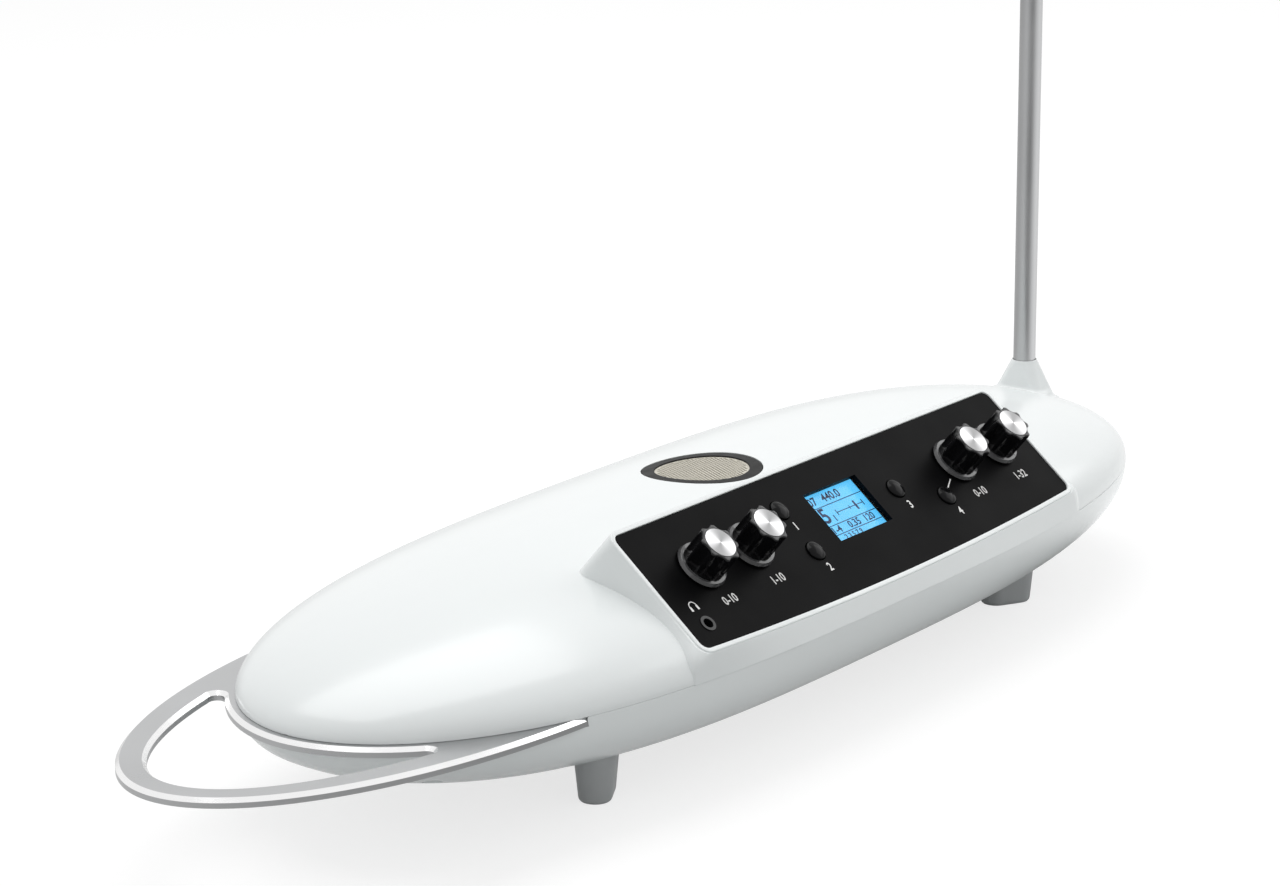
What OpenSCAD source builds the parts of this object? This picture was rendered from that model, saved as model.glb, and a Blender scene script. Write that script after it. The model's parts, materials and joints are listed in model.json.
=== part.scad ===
// Table-top theremin: a boat-shaped two-part case with a sloping control housing,
// a flat loop antenna for volume at the left end and an upright rod antenna for
// pitch at the right end. Millimetres, +Z up. The row origin is the middle of the
// footprint on the table; every module below is drawn in the case's own frame,
// with its middle at x = y = 0 and the joint of the two shells at z = 0.

/* [Case] */
// Length of the two shells
body_l = 450; // [420:1:480]
// Width of the two shells, front to back
body_w = 156; // [145:1:190]
// Height of the upper shell above the joint
crown_h = 30.2; // [28:0.1:36]
// Depth of the lower shell below the joint
keel_h = 35; // [33:0.1:42]
// Wall of both shells
wall = 2.4; // [1.8:0.1:3]
// Height of the table feet below the lower shell's lowest line
foot_drop = 7; // [5:0.5:12]

/* [Control housing] */
// Width of the black faceplate
face_w = 221.2; // [215:0.1:240]
// Height of the black faceplate along the slope
face_h = 47.1; // [46:0.1:50]
// Slope of the faceplate from the table
face_slope = 39.7; // [38:0.1:42]
// Thickness of the faceplate
face_t = 1.6; // [1.2:0.1:2]
// Corner radius of the faceplate
face_r = 3; // [2:0.1:4]
// How far the faceplate's lower edge bows downwards
face_bow = 3.3; // [1:0.1:4]
// Width of the white rim round the faceplate
rim_w = 1.8; // [1.4:0.1:2.4]
// How far the rim stands above the faceplate
rim_h = 0.4; // [0.2:0.1:0.8]
// Distance of the faceplate's lower corners behind the case's front
face_setback = 5.2; // [3:0.1:8]
// Height of the faceplate's lower corners above the joint
face_low = 10; // [9:0.1:14]

/* [Volume antenna] */
// Reach of the loop's tip from the case's middle
loop_reach = 283.4; // [270:0.1:310]
// Width of the loop plate where it enters the case
loop_w = 130; // [120:1:150]
// Width of the ring at the tip
ring_tip = 9.4; // [8:0.1:12]
// Width of the ring at the sides
ring_side = 11.5; // [9:0.1:14]
// Thickness of the plate
loop_t = 3; // [2:0.1:4]
// Bevel along the plate's upper edges
loop_bevel = 1.3; // [0.5:0.1:2]

/* [Pitch antenna] */
// Length of the rod
rod_l = 456; // [300:1:500]
// Diameter of the rod
rod_d = 8.5; // [8:0.1:9]
// Depth of the rod in its socket
rod_seat = 25.7; // [20:0.1:27]
// Distance of the rod from the case's right end
rod_inset = 26.7; // [25:0.1:34]
// Height of the rod's boss above the crown
boss_h = 12.3; // [10:0.1:14]

/* [Controls] */
// Diameter of a knob's skirt
knob_d = 18; // [16:0.1:20]
// Height of a knob above the faceplate
knob_h = 12.6; // [11:0.1:14]
// Diameter of the spun cap in a knob
cap_d = 11.3; // [10:0.1:12]
// Diameter of the shafts
shaft_d = 6; // [6:0.1:6.4]
// Diameter of the push buttons
button_d = 7.4; // [6:0.1:8]
// Travel of the push buttons
button_travel = 0.6; // [0.4:0.1:0.8]
// Width of the display's window
window_w = 31; // [28:0.5:34]
// Height of the display's window
window_h = 20.4; // [18:0.1:22]

/* [Speaker] */
// Diameter of the grille's ring
grille_d = 42.4; // [36:0.1:46]
// Diameter of the perforated disc
mesh_d = 33; // [28:0.5:35]

/* [Sockets] */
// Bore of the three large jacks
jack_bore = 6.4; // [6.4:0.05:6.5]
// Bore of the headphone jack
phones_bore = 3.6; // [3.55:0.05:3.7]
// Bore of the stand's threaded insert
stand_bore = 14.8; // [14:0.1:15.5]
// Depth of the stand's threaded insert
stand_depth = 13; // [10:0.5:14]

/* [Hidden] */
$fn = 64;

// Colours
white_abs = [0.93, 0.95, 0.95];
black_abs = [0.05, 0.05, 0.055];
satin_metal = [0.66, 0.67, 0.67];
bright_metal = [0.82, 0.82, 0.80];
steel = [0.55, 0.56, 0.58];
brass = [0.78, 0.62, 0.32];
board_green = [0.06, 0.30, 0.16];
foot_grey = [0.62, 0.64, 0.65];
mesh_cream = [0.80, 0.78, 0.70];
screen_blue = [0.30, 0.75, 0.95];

// Clearances
gap = 0.1;          // between two fixed pieces
fit = 0.05;         // round a turning shaft, on the radius
slide_gap = 0.3;    // round a sliding piece
over = 1;           // how far a cut runs past what it cuts
skin = 0.2;         // thickness of the slabs that a hull joins
film = 0.02;        // thickness of one that ends a bevel

// Where the case stands in the row's frame
half_l = body_l / 2;
half_w = body_w / 2;
row_x = (loop_reach - half_l) / 2;
row_z = keel_h + foot_drop;
face_front = half_w - face_setback;
module place() { translate([row_x, 0, row_z]) children(); }

// ---- The case's form ----
// Exponents of the outline in plan, of the two long profiles and of the sections
plan_x = 3.3;
plan_y = 1.95;
crown_x = 3.1;
crown_z = 1.84;
crown_section = 2;
keel_x = 2.76;
keel_z = 2.25;
keel_section = 2.35;

function falloff(x, half, p, q) = pow(max(0, 1 - pow(abs(x) / half, p)), 1 / q);
function half_width(x, inset = 0) =
    (half_w - inset) * falloff(x, half_l - inset, plan_x, plan_y);
function crown_at(x, inset = 0) =
    (crown_h - inset) * falloff(x, half_l - inset, crown_x, crown_z);
function keel_at(x, inset = 0) =
    -(keel_h - inset) * falloff(x, half_l - inset, keel_x, keel_z);
function power(c, m) = sign(c) * pow(abs(c), 2 / m);
function section(x, w, h, m, steps) =
    [for (j = [0:steps]) let (a = 180 * j / steps) [x, w * power(cos(a), m), h * power(sin(a), m)]];
// Height of the shells' outer faces over a point
function crown_over(x, y) = crown_at(x) * pow(1 - pow(abs(y) / half_width(x), crown_section),
    1 / crown_section);
function keel_under(x, y) = keel_at(x) * pow(1 - pow(abs(y) / half_width(x), keel_section),
    1 / keel_section);

// A closed half hull: rings of points from the left end to the right end, and a
// flat face where the two shells meet.
module half_hull(rings, reach, upward) {
    n = len(rings[0]);
    count = len(rings);
    points = concat([[-reach, 0, 0]], [for (ring = rings) each ring], [[reach, 0, 0]]);
    tip = len(points) - 1;
    skins = [
        for (j = [0:n - 2]) [0, 1 + j, 2 + j],
        for (i = [0:count - 2], j = [0:n - 2])
            [1 + i * n + j, 1 + (i + 1) * n + j, 2 + (i + 1) * n + j],
        for (i = [0:count - 2], j = [0:n - 2])
            [1 + i * n + j, 2 + (i + 1) * n + j, 2 + i * n + j],
        for (j = [0:n - 2]) [tip, 2 + (count - 1) * n + j, 1 + (count - 1) * n + j]];
    rim = concat([0], [for (i = [0:count - 1]) i * n + n], [tip],
        [for (i = [count - 1:-1:0]) 1 + i * n]);
    faces = concat(skins, [rim]);
    flip = upward ? faces : [for (f = faces) [for (k = [len(f) - 1:-1:0]) f[k]]];
    polyhedron(points, flip, convexity = 6);
}

function stations(count, reach) = [for (i = [1:count - 1]) -reach * cos(180 * i / count)];

module upper_form(inset = 0, along = 40, around = 18) {
    reach = half_l - inset;
    half_hull([for (x = stations(along, reach))
        section(x, half_width(x, inset), crown_at(x, inset), crown_section, around)], reach, true);
}

module lower_form(inset = 0, along = 40, around = 16) {
    reach = half_l - inset;
    half_hull([for (x = stations(along, reach))
        section(x, half_width(x, inset), keel_at(x, inset), keel_section, around)], reach, false);
}

// ---- The control housing ----
// The faceplate's own frame: u along the case, v up the slope from the lower
// corners, w out of the faceplate's front face.
module on_panel(u = 0, v = 0, w = 0) {
    translate([0, -face_front, face_low]) rotate([face_slope, 0, 0]) translate([u, v, w]) children();
}

function arc(cx, cy, r, from, to, steps) =
    [for (i = [0:steps]) let (a = from + (to - from) * i / steps) [cx + r * cos(a), cy + r * sin(a)]];

// Rounded oblong whose lower edge is an arc of a large circle
function panel_outline(grow) =
    let (hw = face_w / 2 + grow, r = max(1, face_r + grow),
        big = (pow(face_w / 2, 2) + pow(face_bow, 2)) / (2 * face_bow),
        end = asin((hw - r) / (big + grow - r)),
        corner_u = (big + grow - r) * sin(end),
        corner_v = big - face_bow - (big + grow - r) * cos(end))
    concat(arc(0, big - face_bow, big + grow, 270 - end, 270 + end, 12),
        arc(corner_u, corner_v, r, 270 + end, 360, 5),
        [for (i = [1:7]) [hw, face_h * i / 8]],
        arc(hw - r, face_h + grow - r, r, 0, 90, 5),
        arc(r - hw, face_h + grow - r, r, 90, 180, 5),
        [for (i = [7:-1:1]) [-hw, face_h * i / 8]],
        arc(-corner_u, corner_v, r, 180, 270 - end, 5));

module panel_slab(grow, w, t) {
    on_panel(w = w) linear_extrude(t) polygon(panel_outline(grow));
}

// The housing is lofted from the rim round the faceplate down to the joint of the
// shells. Its cheeks have a slight draft, and flare at their lower front corners.
cheek_draft = 1.2;
cheek_flare = 4.2;
flare_reach = 14;                   // how far up the slope the flare is felt
flare_speed = 5;                    // how soon below the rim the flare is reached
housing_proud = 0.25;               // step between the front wall and the lower shell
panel_half = face_w / 2 + rim_w;
function panel_point(p, w) = [p[0],
    -face_front + p[1] * cos(face_slope) - w * sin(face_slope),
    face_low + p[1] * sin(face_slope) + w * cos(face_slope)];
function cheek_foot(p) =
    let (spread = cheek_draft + cheek_flare * exp(-pow(p[1] / flare_reach, 2)),
        x = p[0] * (1 + spread / panel_half),
        share = max(0, p[1]) / (face_h + rim_w))
    [x, -(1 - share) * (half_width(x) + housing_proud), 0];
function housing_point(p, t) =
    let (top = panel_point(p, rim_h), low = cheek_foot(p),
        side = (1 - exp(-flare_speed * t)) / (1 - exp(-flare_speed)))
    [top[0] + (low[0] - top[0]) * side, top[1] + (low[1] - top[1]) * t, top[2] * (1 - t)];

module housing_form() {
    outline = panel_outline(rim_w);
    n = len(outline);
    levels = [0, 0.06, 0.15, 0.3, 0.55, 1];
    last = len(levels) - 1;
    polyhedron([for (t = levels) each [for (p = outline) housing_point(p, t)]],
        concat([[for (i = [n - 1:-1:0]) i]],
            [for (k = [0:last - 1], i = [0:n - 1]) each let (j = (i + 1) % n, a = k * n, b = a + n)
                [[a + i, a + j, b + j], [a + i, b + j, b + i]]],
            [[for (i = [0:n - 1]) last * n + i]]), convexity = 4);
}

ledge_t = 2;                        // thickness of the ledge that carries the faceplate
ledge_w = 4;                        // width of that ledge
hollow_margin = 1;                  // extra thickness of the housing's front wall at its foot
module housing_hollow() {
    inner = panel_half + cheek_draft - wall;
    back = -wall - hollow_margin;
    hull() {
        panel_slab(rim_w - wall, -face_t - ledge_t - skin, skin);
        linear_extrude(skin) polygon(concat(
            [for (i = [0:12]) let (x = inner * (i / 6 - 1)) [x, -half_width(x) - back]],
            [[inner, back], [-inner, back]]));
    }
}

// ---- Screw posts ----
screw_r = 1.5;
post_r = 4.2;
lower_post_r = 5.2;
head_r = 2.9;
small_screw_r = 1.2;
small_head_r = 2.2;
screw_tip = 7;                      // height of the case screws' tips above the joint
screw_seat = 8;                     // length of plastic under a case screw's head
end_x = half_l - 30.5;              // the posts near the case's ends
end_y = half_width(end_x) - 16.2;
side_x = half_l - 75;               // the posts along its sides
side_y = half_width(side_x) - 18.7;
case_screw_spots = [for (sx = [-1, 1], sy = [-1, 1]) each
    [[sx * end_x, sy * end_y], [sx * side_x, sy * side_y]]];
function post_floor(p) = p[0] < loop_end ? -loop_t - gap : 0;

module upper_posts() {
    for (p = case_screw_spots) translate([p[0], p[1], gap]) cylinder(r = post_r, h = crown_h);
}

module lower_posts() {
    for (p = case_screw_spots) translate([p[0], p[1], -keel_h])
        cylinder(r = lower_post_r, h = keel_h + post_floor(p));
}

function seat_z(p) = max(keel_under(p[0], p[1]) + wall, post_floor(p) - screw_seat);

// ---- Upper shell ----
rod_x = half_l - rod_inset;
boss_top = crown_at(rod_x) + boss_h;
boss_r = rod_d / 2 + 0.7;
boss_foot = [6.4, 13.2];            // half sizes of the boss where it enters the crown
boss_foot_z = crown_at(rod_x) - 4;
boss_corner = 2;
socket_r = 6.2;
socket_floor = 1.5;
rod_low = boss_top - rod_seat;
socket_low = rod_low - socket_floor;
socket_top = boss_top - 8.7;
socket_post_r = socket_r + 2.4;

module antenna_boss_form() {
    hull() {
        translate([rod_x, 0, boss_top - skin]) cylinder(r = boss_r, h = skin, $fn = 32);
        for (sx = [-1, 1], sy = [-1, 1]) translate([rod_x, 0, boss_foot_z])
            translate([sx * (boss_foot[0] - boss_corner), sy * (boss_foot[1] - boss_corner), 0])
            cylinder(r = boss_corner, h = skin, $fn = 16);
    }
}

grille_y = 9;                       // middle of the grille behind the case's middle
crown_r = half_w * half_w / crown_h;  // the crown's radius across the case
grille_deep = 1.4;
// A slice of the tube that follows the crown, between two depths below it
module crown_slice(d, top, t) {
    intersection() {
        translate([0, grille_y, 0]) cylinder(d = d, h = crown_h + over);
        translate([-d, 0, crown_h - crown_r]) rotate([0, 90, 0]) difference() {
            cylinder(r = crown_r - top, h = 2 * d, $fn = 256);
            translate([0, 0, -over]) cylinder(r = crown_r - top - t, h = 2 * d + 2 * over, $fn = 256);
        }
    }
}

speaker_top = crown_h - 5.5;
speaker_wall_r = grille_d / 2 + 1.6;
speaker_mouth = mesh_d - 2;

module upper_shell() {
    color(white_abs) difference() {
        union() {
            upper_form();
            housing_form();
            antenna_boss_form();
        }
        difference() {
            union() {
                upper_form(wall, 28, 12);
                housing_hollow();
            }
            upper_posts();
            translate([rod_x, 0, gap]) cylinder(r = socket_post_r, h = crown_h);
            translate([0, grille_y, speaker_top]) cylinder(r = speaker_wall_r, h = crown_h);
        }
        panel_slab(gap, -face_t, face_t + rim_h + over);
        panel_slab(-ledge_w, -face_t - ledge_t - over, ledge_t + 2 * over);
        for (p = case_screw_spots) translate([p[0], p[1], -over])
            cylinder(r = screw_r + fit, h = screw_tip + 2 * over);
        translate([rod_x, 0, socket_top]) cylinder(d = rod_d + slide_gap * 2, h = boss_top);
        translate([rod_x, 0, -over]) cylinder(r = socket_r + gap, h = socket_top + over);
        translate([0, grille_y, speaker_top - over]) cylinder(d = speaker_mouth, h = crown_h);
        crown_slice(grille_d + 2 * gap, -over, grille_deep + over);
    }
}

// ---- Lower shell ----
bay_half = 68;                      // half the width of the rear jack bay
bay_back = half_w - 12;             // face of the bay, behind the case's middle
bay_low = -keel_h + 15;
bay_top = -wall;
bay_wall = 2;
bay_rim = 2;                        // ledge round the opening behind the rear panel
panel_t = 2;                        // thickness of the rear panel

module bay_block() {
    translate([-bay_half - bay_wall, bay_back - bay_wall, bay_low - bay_wall])
        cube([2 * (bay_half + bay_wall), half_w, -bay_low + bay_wall + over]);
}

module bay_space() {
    translate([-bay_half, bay_back, bay_low]) cube([2 * bay_half, half_w, bay_top - bay_low]);
    translate([-bay_half + 2 * bay_rim, bay_back - bay_wall - over, bay_low + bay_rim])
        cube([2 * (bay_half - 2 * bay_rim), bay_wall + 2 * over, bay_top - bay_low - 2 * bay_rim]);
}

stand_r = 11;
stand_mouth = keel_at(0);
board_t = 1.6;
socket_half = 5.6;                  // half the height of the rear sockets' bodies
socket_z = (bay_low + bay_top) / 2;
board_top = socket_z - socket_half;
main_board_low = board_top - board_t;
main_board_half = bay_half - 4;
main_board_y = [bay_back - 96, bay_back - 8];
board_post_r = 3.4;
board_pilot = 6;                    // depth of the pilot holes in those posts
main_post_spots = [for (sx = [-1, 1], y = [main_board_y[0] + 5, bay_back - 30])
    [sx * (main_board_half - 5), y]];

foot_x = half_l - 102;
foot_y = half_width(foot_x) - 33.3;
foot_turn = 30;
foot_l = 22;
foot_w = 14;
foot_taper = 1.4;
foot_round = 2;
foot_floor = -row_z;

// The loop plate's blank: the left part of an elliptical disc
loop_middle = -half_l + 85;
loop_end = loop_middle - 17;        // where the plate stops inside the case
loop_post_x = -half_l + 55;
loop_post_spots = [for (sy = [-1, 1]) [loop_post_x, sy * (half_width(loop_post_x) - 11)]];
module loop_blank(grow, low, high) {
    difference() {
        translate([loop_middle, 0, low]) scale([loop_reach + loop_middle + grow, loop_w / 2 + grow, 1])
            cylinder(r = 1, h = high - low, $fn = 180);
        translate([loop_end + grow, -loop_w, low - over])
            cube([loop_reach, 2 * loop_w, high - low + 2 * over]);
    }
}

// The case's outline in plan, grown or shrunk
function case_outline(grow, steps = 72) = [for (i = [0:steps - 1]) let (a = 360 * i / steps,
    x = (half_l + grow) * cos(a)) [x, sign(sin(a)) * half_width(x, -grow)]];

loop_flange = 18;                   // width of the plate's flange inside the case
strip_w = 3.2;                      // bare plate between the case and the slot
horn_r = 2.6;                       // rounding at the slot's two ends
bevel_start = 0.5;                  // how far inside a hole its bevel's cutter starts

module through_loop(extra = over) {
    translate([0, 0, -loop_t - extra]) linear_extrude(loop_t + 2 * extra) children();
}

// The slot between the ring and the strip that follows the case
module slot_outline() {
    offset(r = horn_r) offset(delta = -horn_r) difference() {
        translate([loop_middle, 0]) scale([loop_reach + loop_middle - ring_tip, loop_w / 2 - ring_side])
            circle(r = 1, $fn = 180);
        polygon(case_outline(strip_w));
    }
}

// The bevel round a hole's upper edge: a cone that is run along its outline. It starts
// inside the hole, and meets the hole's wall a bevel's width below the plate's face.
module bevel_cut() {
    translate([0, 0, -loop_bevel - bevel_start]) minkowski() {
        linear_extrude(skin) offset(delta = -bevel_start) children();
        cylinder(r1 = 0, r2 = loop_bevel + bevel_start + over, h = loop_bevel + bevel_start + over, $fn = 24);
    }
}

module volume_antenna() {
    color(satin_metal) difference() {
        hull() {
            loop_blank(0, -loop_t, -loop_bevel);
            loop_blank(-loop_bevel, -film, 0);
        }
        through_loop() slot_outline();
        bevel_cut() slot_outline();
        through_loop() polygon(case_outline(-loop_flange));
        for (p = concat(case_screw_spots, loop_post_spots)) translate([p[0], p[1], -loop_t - over])
            cylinder(r = screw_r + slide_gap, h = loop_t + 2 * over);
    }
}

loop_post_r = 3.6;
loop_grip = 7;                      // length of the loop's screws in their posts
foot_post_r = 4.2;
foot_post_h = 8;
foot_grip = 5;                      // length of the feet's screws in their posts
prop_r = 3.4;                       // prop under the antenna's socket
stand_boss = 2;                     // wall round the stand's insert
foot_spots = [for (sy = [-1, 1], sx = [-1, 1]) [sx * foot_x, sy * foot_y]];

module lower_bosses() {
    lower_posts();
    translate([0, 0, -keel_h]) cylinder(r = stand_r + stand_boss, h = stand_depth + stand_boss);
    for (p = main_post_spots) translate([p[0], p[1], -keel_h])
        cylinder(r = board_post_r, h = keel_h + main_board_low);
    for (p = loop_post_spots) translate([p[0], p[1], -keel_h])
        cylinder(r = loop_post_r, h = keel_h - loop_t - gap);
    for (p = foot_spots) translate([p[0], p[1], -keel_h])
        cylinder(r = foot_post_r, h = keel_h + keel_under(p[0], p[1]) + foot_post_h);
}

module lower_shell() {
    color(white_abs) difference() {
        union() {
            difference() {
                lower_form();
                difference() {
                    lower_form(wall, 28, 12);
                    lower_bosses();
                    bay_block();
                }
            }
            translate([rod_x, 0, keel_at(rod_x) + wall / 2])
                cylinder(r = prop_r, h = socket_low - gap - keel_at(rod_x) - wall / 2);
        }
        bay_space();
        loop_blank(gap, -loop_t - gap, over);
        translate([0, 0, stand_mouth - over]) cylinder(r = stand_r + fit, h = stand_depth + over);
        for (p = case_screw_spots) {
            translate([p[0], p[1], -keel_h - over])
                cylinder(r = head_r + slide_gap, h = keel_h + over + seat_z(p));
            translate([p[0], p[1], -keel_h]) cylinder(r = screw_r + fit, h = keel_h + over);
        }
        for (p = main_post_spots) translate([p[0], p[1], main_board_low - board_pilot])
            cylinder(r = small_screw_r + fit, h = board_pilot + over);
        for (p = loop_post_spots) translate([p[0], p[1], -loop_t - loop_grip - over])
            cylinder(r = screw_r + fit, h = loop_grip + 2 * over);
        for (p = foot_spots) translate([p[0], p[1], keel_under(p[0], p[1]) - 2 * over])
            cylinder(r = screw_r + fit, h = foot_post_h);
    }
}

// ---- Screws ----
// Pan-head screw standing on its tip side: the head's underside lies at z = 0
module screw(r, head, length, up = true) {
    head_h = head * 0.6;
    cross_l = head * 1.1;
    cross_w = 0.7;
    mirror([0, 0, up ? 0 : 1]) {
        cylinder(r = r, h = length);
        difference() {
            translate([0, 0, -head_h]) cylinder(r1 = head * 0.8, r2 = head, h = head_h);
            for (a = [0, 90]) rotate(a) translate([-cross_l / 2, -cross_w / 2, -head_h - over])
                cube([cross_l, cross_w, head_h / 2 + over]);
        }
    }
}

module case_screws() {
    color(steel) for (p = case_screw_spots) translate([p[0], p[1], seat_z(p)])
        screw(screw_r, head_r, screw_tip - seat_z(p));
}

module loop_screws() {
    color(steel) for (p = loop_post_spots) translate([p[0], p[1], 0])
        screw(screw_r, head_r, loop_t + loop_grip, false);
}

// ---- Pitch antenna ----
rod_wall = 1;
rod_fit = 0.07;                     // round the rod in its socket, on the radius
module pitch_antenna() {
    color(satin_metal) translate([rod_x, 0, rod_low]) difference() {
        union() {
            cylinder(d = rod_d, h = rod_l - rod_d / 2);
            translate([0, 0, rod_l - rod_d / 2]) sphere(d = rod_d);
        }
        translate([0, 0, -over]) cylinder(r = rod_d / 2 - rod_wall, h = rod_l - rod_d + over);
    }
}

module antenna_socket() {
    color(brass) translate([rod_x, 0, 0]) difference() {
        translate([0, 0, socket_low]) cylinder(r = socket_r, h = socket_top - socket_low);
        translate([0, 0, rod_low]) cylinder(r = rod_d / 2 + rod_fit, h = socket_top);
    }
}

// ---- Faceplate and what it carries ----
// Places on the faceplate: [u, v]
knob_v = face_h - 20.8;
volume_spot = [-face_w / 2 + 25.5, knob_v];
pitch_spot = volume_spot + [26.7, 0];
presets_spot = [face_w / 2 - 19.2, knob_v];
delay_spot = presets_spot - [26.3, 0];
window_spot = [-1.4, face_h - 21.3];
scale_spot = window_spot + [-31.2, 8.2];
root_spot = window_spot + [-30.4, -9.9];
setup_spot = window_spot + [28.5, -0.4];
echo_spot = window_spot + [49.3, -10.1];
phones_spot = [-face_w / 2 + 9.8, 7.6];
knob_spots = [volume_spot, pitch_spot, delay_spot, presets_spot];
button_spots = [scale_spot, root_spot, setup_spot, echo_spot];
standoff_spots = [for (u = [-72, 72], v = [7.5, face_h - 7.6]) [u, v]];
board_w = -12.4;                    // front of the control board behind the faceplate's face
phones_ring_r = 2.9;
phones_body = [7, 6.4];
ring_sunk = 0.1;                    // headphone ring's face below the rim's height
shaft_hole = 0.6;                   // round a shaft or a bush in the faceplate, on the radius

module at_spot(p, w = 0) { on_panel(p[0], p[1], w) children(); }

module faceplate() {
    color(black_abs) difference() {
        on_panel(w = -face_t) linear_extrude(face_t) polygon(panel_outline(0));
        for (p = knob_spots) at_spot(p, -face_t - over)
            cylinder(r = shaft_d / 2 + shaft_hole, h = face_t + 2 * over);
        for (p = button_spots) at_spot(p, -face_t - over)
            cylinder(d = button_d + 2 * slide_gap, h = face_t + 2 * over);
        at_spot(phones_spot, -face_t - over) cylinder(r = phones_ring_r + gap, h = face_t + 2 * over);
        at_spot(window_spot) translate([-window_w / 2, -window_h / 2, -face_t - over])
            cube([window_w, window_h, face_t + 2 * over]);
    }
}

lens_t = 1.2;
lens_lap = 2;
module display_window() {
    color([0.6, 0.75, 0.8, 0.5]) at_spot(window_spot)
        translate([-window_w / 2 - lens_lap, -window_h / 2 - lens_lap, -face_t - lens_t])
        cube([window_w + 2 * lens_lap, window_h + 2 * lens_lap, lens_t]);
}

glass_t = 4.4;
glass_lap = 2.5;
leg_r = 1.5;
module display_module() {
    half_u = window_w / 2 + glass_lap;
    half_v = window_h / 2 + glass_lap;
    top = -face_t - lens_t;
    leg = [half_u - leg_r, half_v - leg_r];
    color(screen_blue) at_spot(window_spot) {
        translate([-half_u, -half_v, top - glass_t]) cube([2 * half_u, 2 * half_v, glass_t]);
        for (su = [-1, 1], sv = [-1, 1]) translate([su * leg[0], sv * leg[1], board_w])
            cylinder(r = leg_r, h = top - glass_t - board_w);
    }
}

board_half_u = face_w / 2 - 5.6;
board_v = [4.4, face_h - 4.7];
header_u = 20;                      // width of the ribbon; its plugs are wider by header_end at each end
header_end = 2;
header_v = [6, 12];
header_h = 3;
module control_board() {
    color(board_green) difference() {
        union() {
            on_panel(-board_half_u, board_v[0], board_w - board_t)
                cube([2 * board_half_u, board_v[1] - board_v[0], board_t]);
            on_panel(-header_u / 2 - header_end, header_v[0], board_w - board_t - header_h)
                cube([header_u + 2 * header_end, header_v[1] - header_v[0], header_h]);
        }
        for (p = standoff_spots) at_spot(p, board_w - board_t - over)
            cylinder(r = small_screw_r + gap, h = board_t + 2 * over);
    }
}

standoff_r = 2.5;
module board_standoffs() {
    color(steel) for (p = standoff_spots) at_spot(p, board_w) difference() {
        cylinder(r = standoff_r, h = -face_t - board_w, $fn = 6);
        translate([0, 0, -over]) cylinder(r = small_screw_r + fit, h = board_pilot + over);
    }
}

module board_screws() {
    length = board_t + board_pilot - 1;
    color(steel) {
        for (p = standoff_spots) at_spot(p, board_w - board_t) screw(small_screw_r, small_head_r, length);
        for (p = main_post_spots) translate([p[0], p[1], main_board_low + board_t])
            screw(small_screw_r, small_head_r, length, false);
    }
}

module headphone_jack() {
    color(black_abs) at_spot(phones_spot) difference() {
        union() {
            translate([-phones_body[0] / 2, -phones_body[1] / 2, board_w])
                cube([phones_body[0], phones_body[1], -face_t - gap - board_w]);
            translate([0, 0, board_w]) cylinder(r = phones_ring_r, h = rim_h - board_w - ring_sunk);
        }
        translate([0, 0, board_w + over]) cylinder(d = phones_bore, h = -board_w + over);
    }
}

// ---- Knobs ----
knob_lift = 0.8;                    // skirt's clearance over the faceplate
skirt_h = 1.4;
skirt_rim = 1.62;                   // width of the skirt round the knob's body
skirt_draft = 0.4;
flute_r = 3.6;
flute_deep = 1.1;
flutes = 8;
knob_body_r = knob_d / 2 - skirt_rim;
cap_t = 0.8;
cap_proud = 0.1;
shaft_top = knob_h - cap_t - 1.6;
shaft_low = board_w + 2.6;
pot_h = 7;
pot_body = [9.6, 11.4];
pot_neck_r = 3.6;
neck_gap = 0.4;                     // between a pot's neck and the back of the faceplate

module knob(p) {
    color(black_abs) at_spot(p) difference() {
        union() {
            translate([0, 0, knob_lift]) cylinder(d1 = knob_d, d2 = knob_d - 2 * skirt_draft, h = skirt_h);
            difference() {
                translate([0, 0, knob_lift]) cylinder(r = knob_body_r, h = knob_h - knob_lift);
                for (i = [0:flutes - 1]) rotate(360 * i / flutes)
                    translate([knob_body_r + flute_r - flute_deep, 0, knob_lift + skirt_h])
                    cylinder(r = flute_r, h = knob_h);
            }
        }
        translate([0, 0, -over]) cylinder(r = shaft_d / 2 + fit, h = shaft_top + gap + over);
        translate([0, 0, knob_h - cap_t]) cylinder(d = cap_d + gap, h = cap_t + over);
    }
}

module knob_cap(p) {
    color(bright_metal) at_spot(p, knob_h - cap_t) cylinder(d = cap_d, h = cap_t + cap_proud);
}

module shaft(p) {
    color(steel) at_spot(p, shaft_low) cylinder(d = shaft_d, h = shaft_top - shaft_low);
}

module pot(p, case_color) {
    color(case_color) at_spot(p) difference() {
        union() {
            translate([-pot_body[0] / 2, -pot_body[1] / 2, board_w]) cube([pot_body[0], pot_body[1], pot_h]);
            translate([0, 0, board_w]) cylinder(r = pot_neck_r, h = -face_t - neck_gap - board_w);
        }
        translate([0, 0, shaft_low - fit]) cylinder(r = shaft_d / 2 + fit, h = knob_h);
    }
}

// ---- Push buttons ----
flange_r = button_d / 2 + 1.1;
flange_t = 1.2;
stem_r = 1.6;
dome_h = 0.9;
button_edge = 0.6;
dome_r = (pow(button_d / 2, 2) + pow(dome_h, 2)) / (2 * dome_h);
stem_low = -7.2;
module push_button(p) {
    color([0.10, 0.10, 0.11]) at_spot(p) {
        intersection() {
            translate([0, 0, -face_t - slide_gap]) cylinder(d = button_d, h = 2 * (face_t + dome_h));
            translate([0, 0, button_edge + dome_h - dome_r]) sphere(r = dome_r, $fn = 128);
        }
        translate([0, 0, -face_t - slide_gap - flange_t]) cylinder(r = flange_r, h = flange_t);
        translate([0, 0, stem_low]) cylinder(r = stem_r, h = -stem_low - face_t - slide_gap);
    }
}

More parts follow.
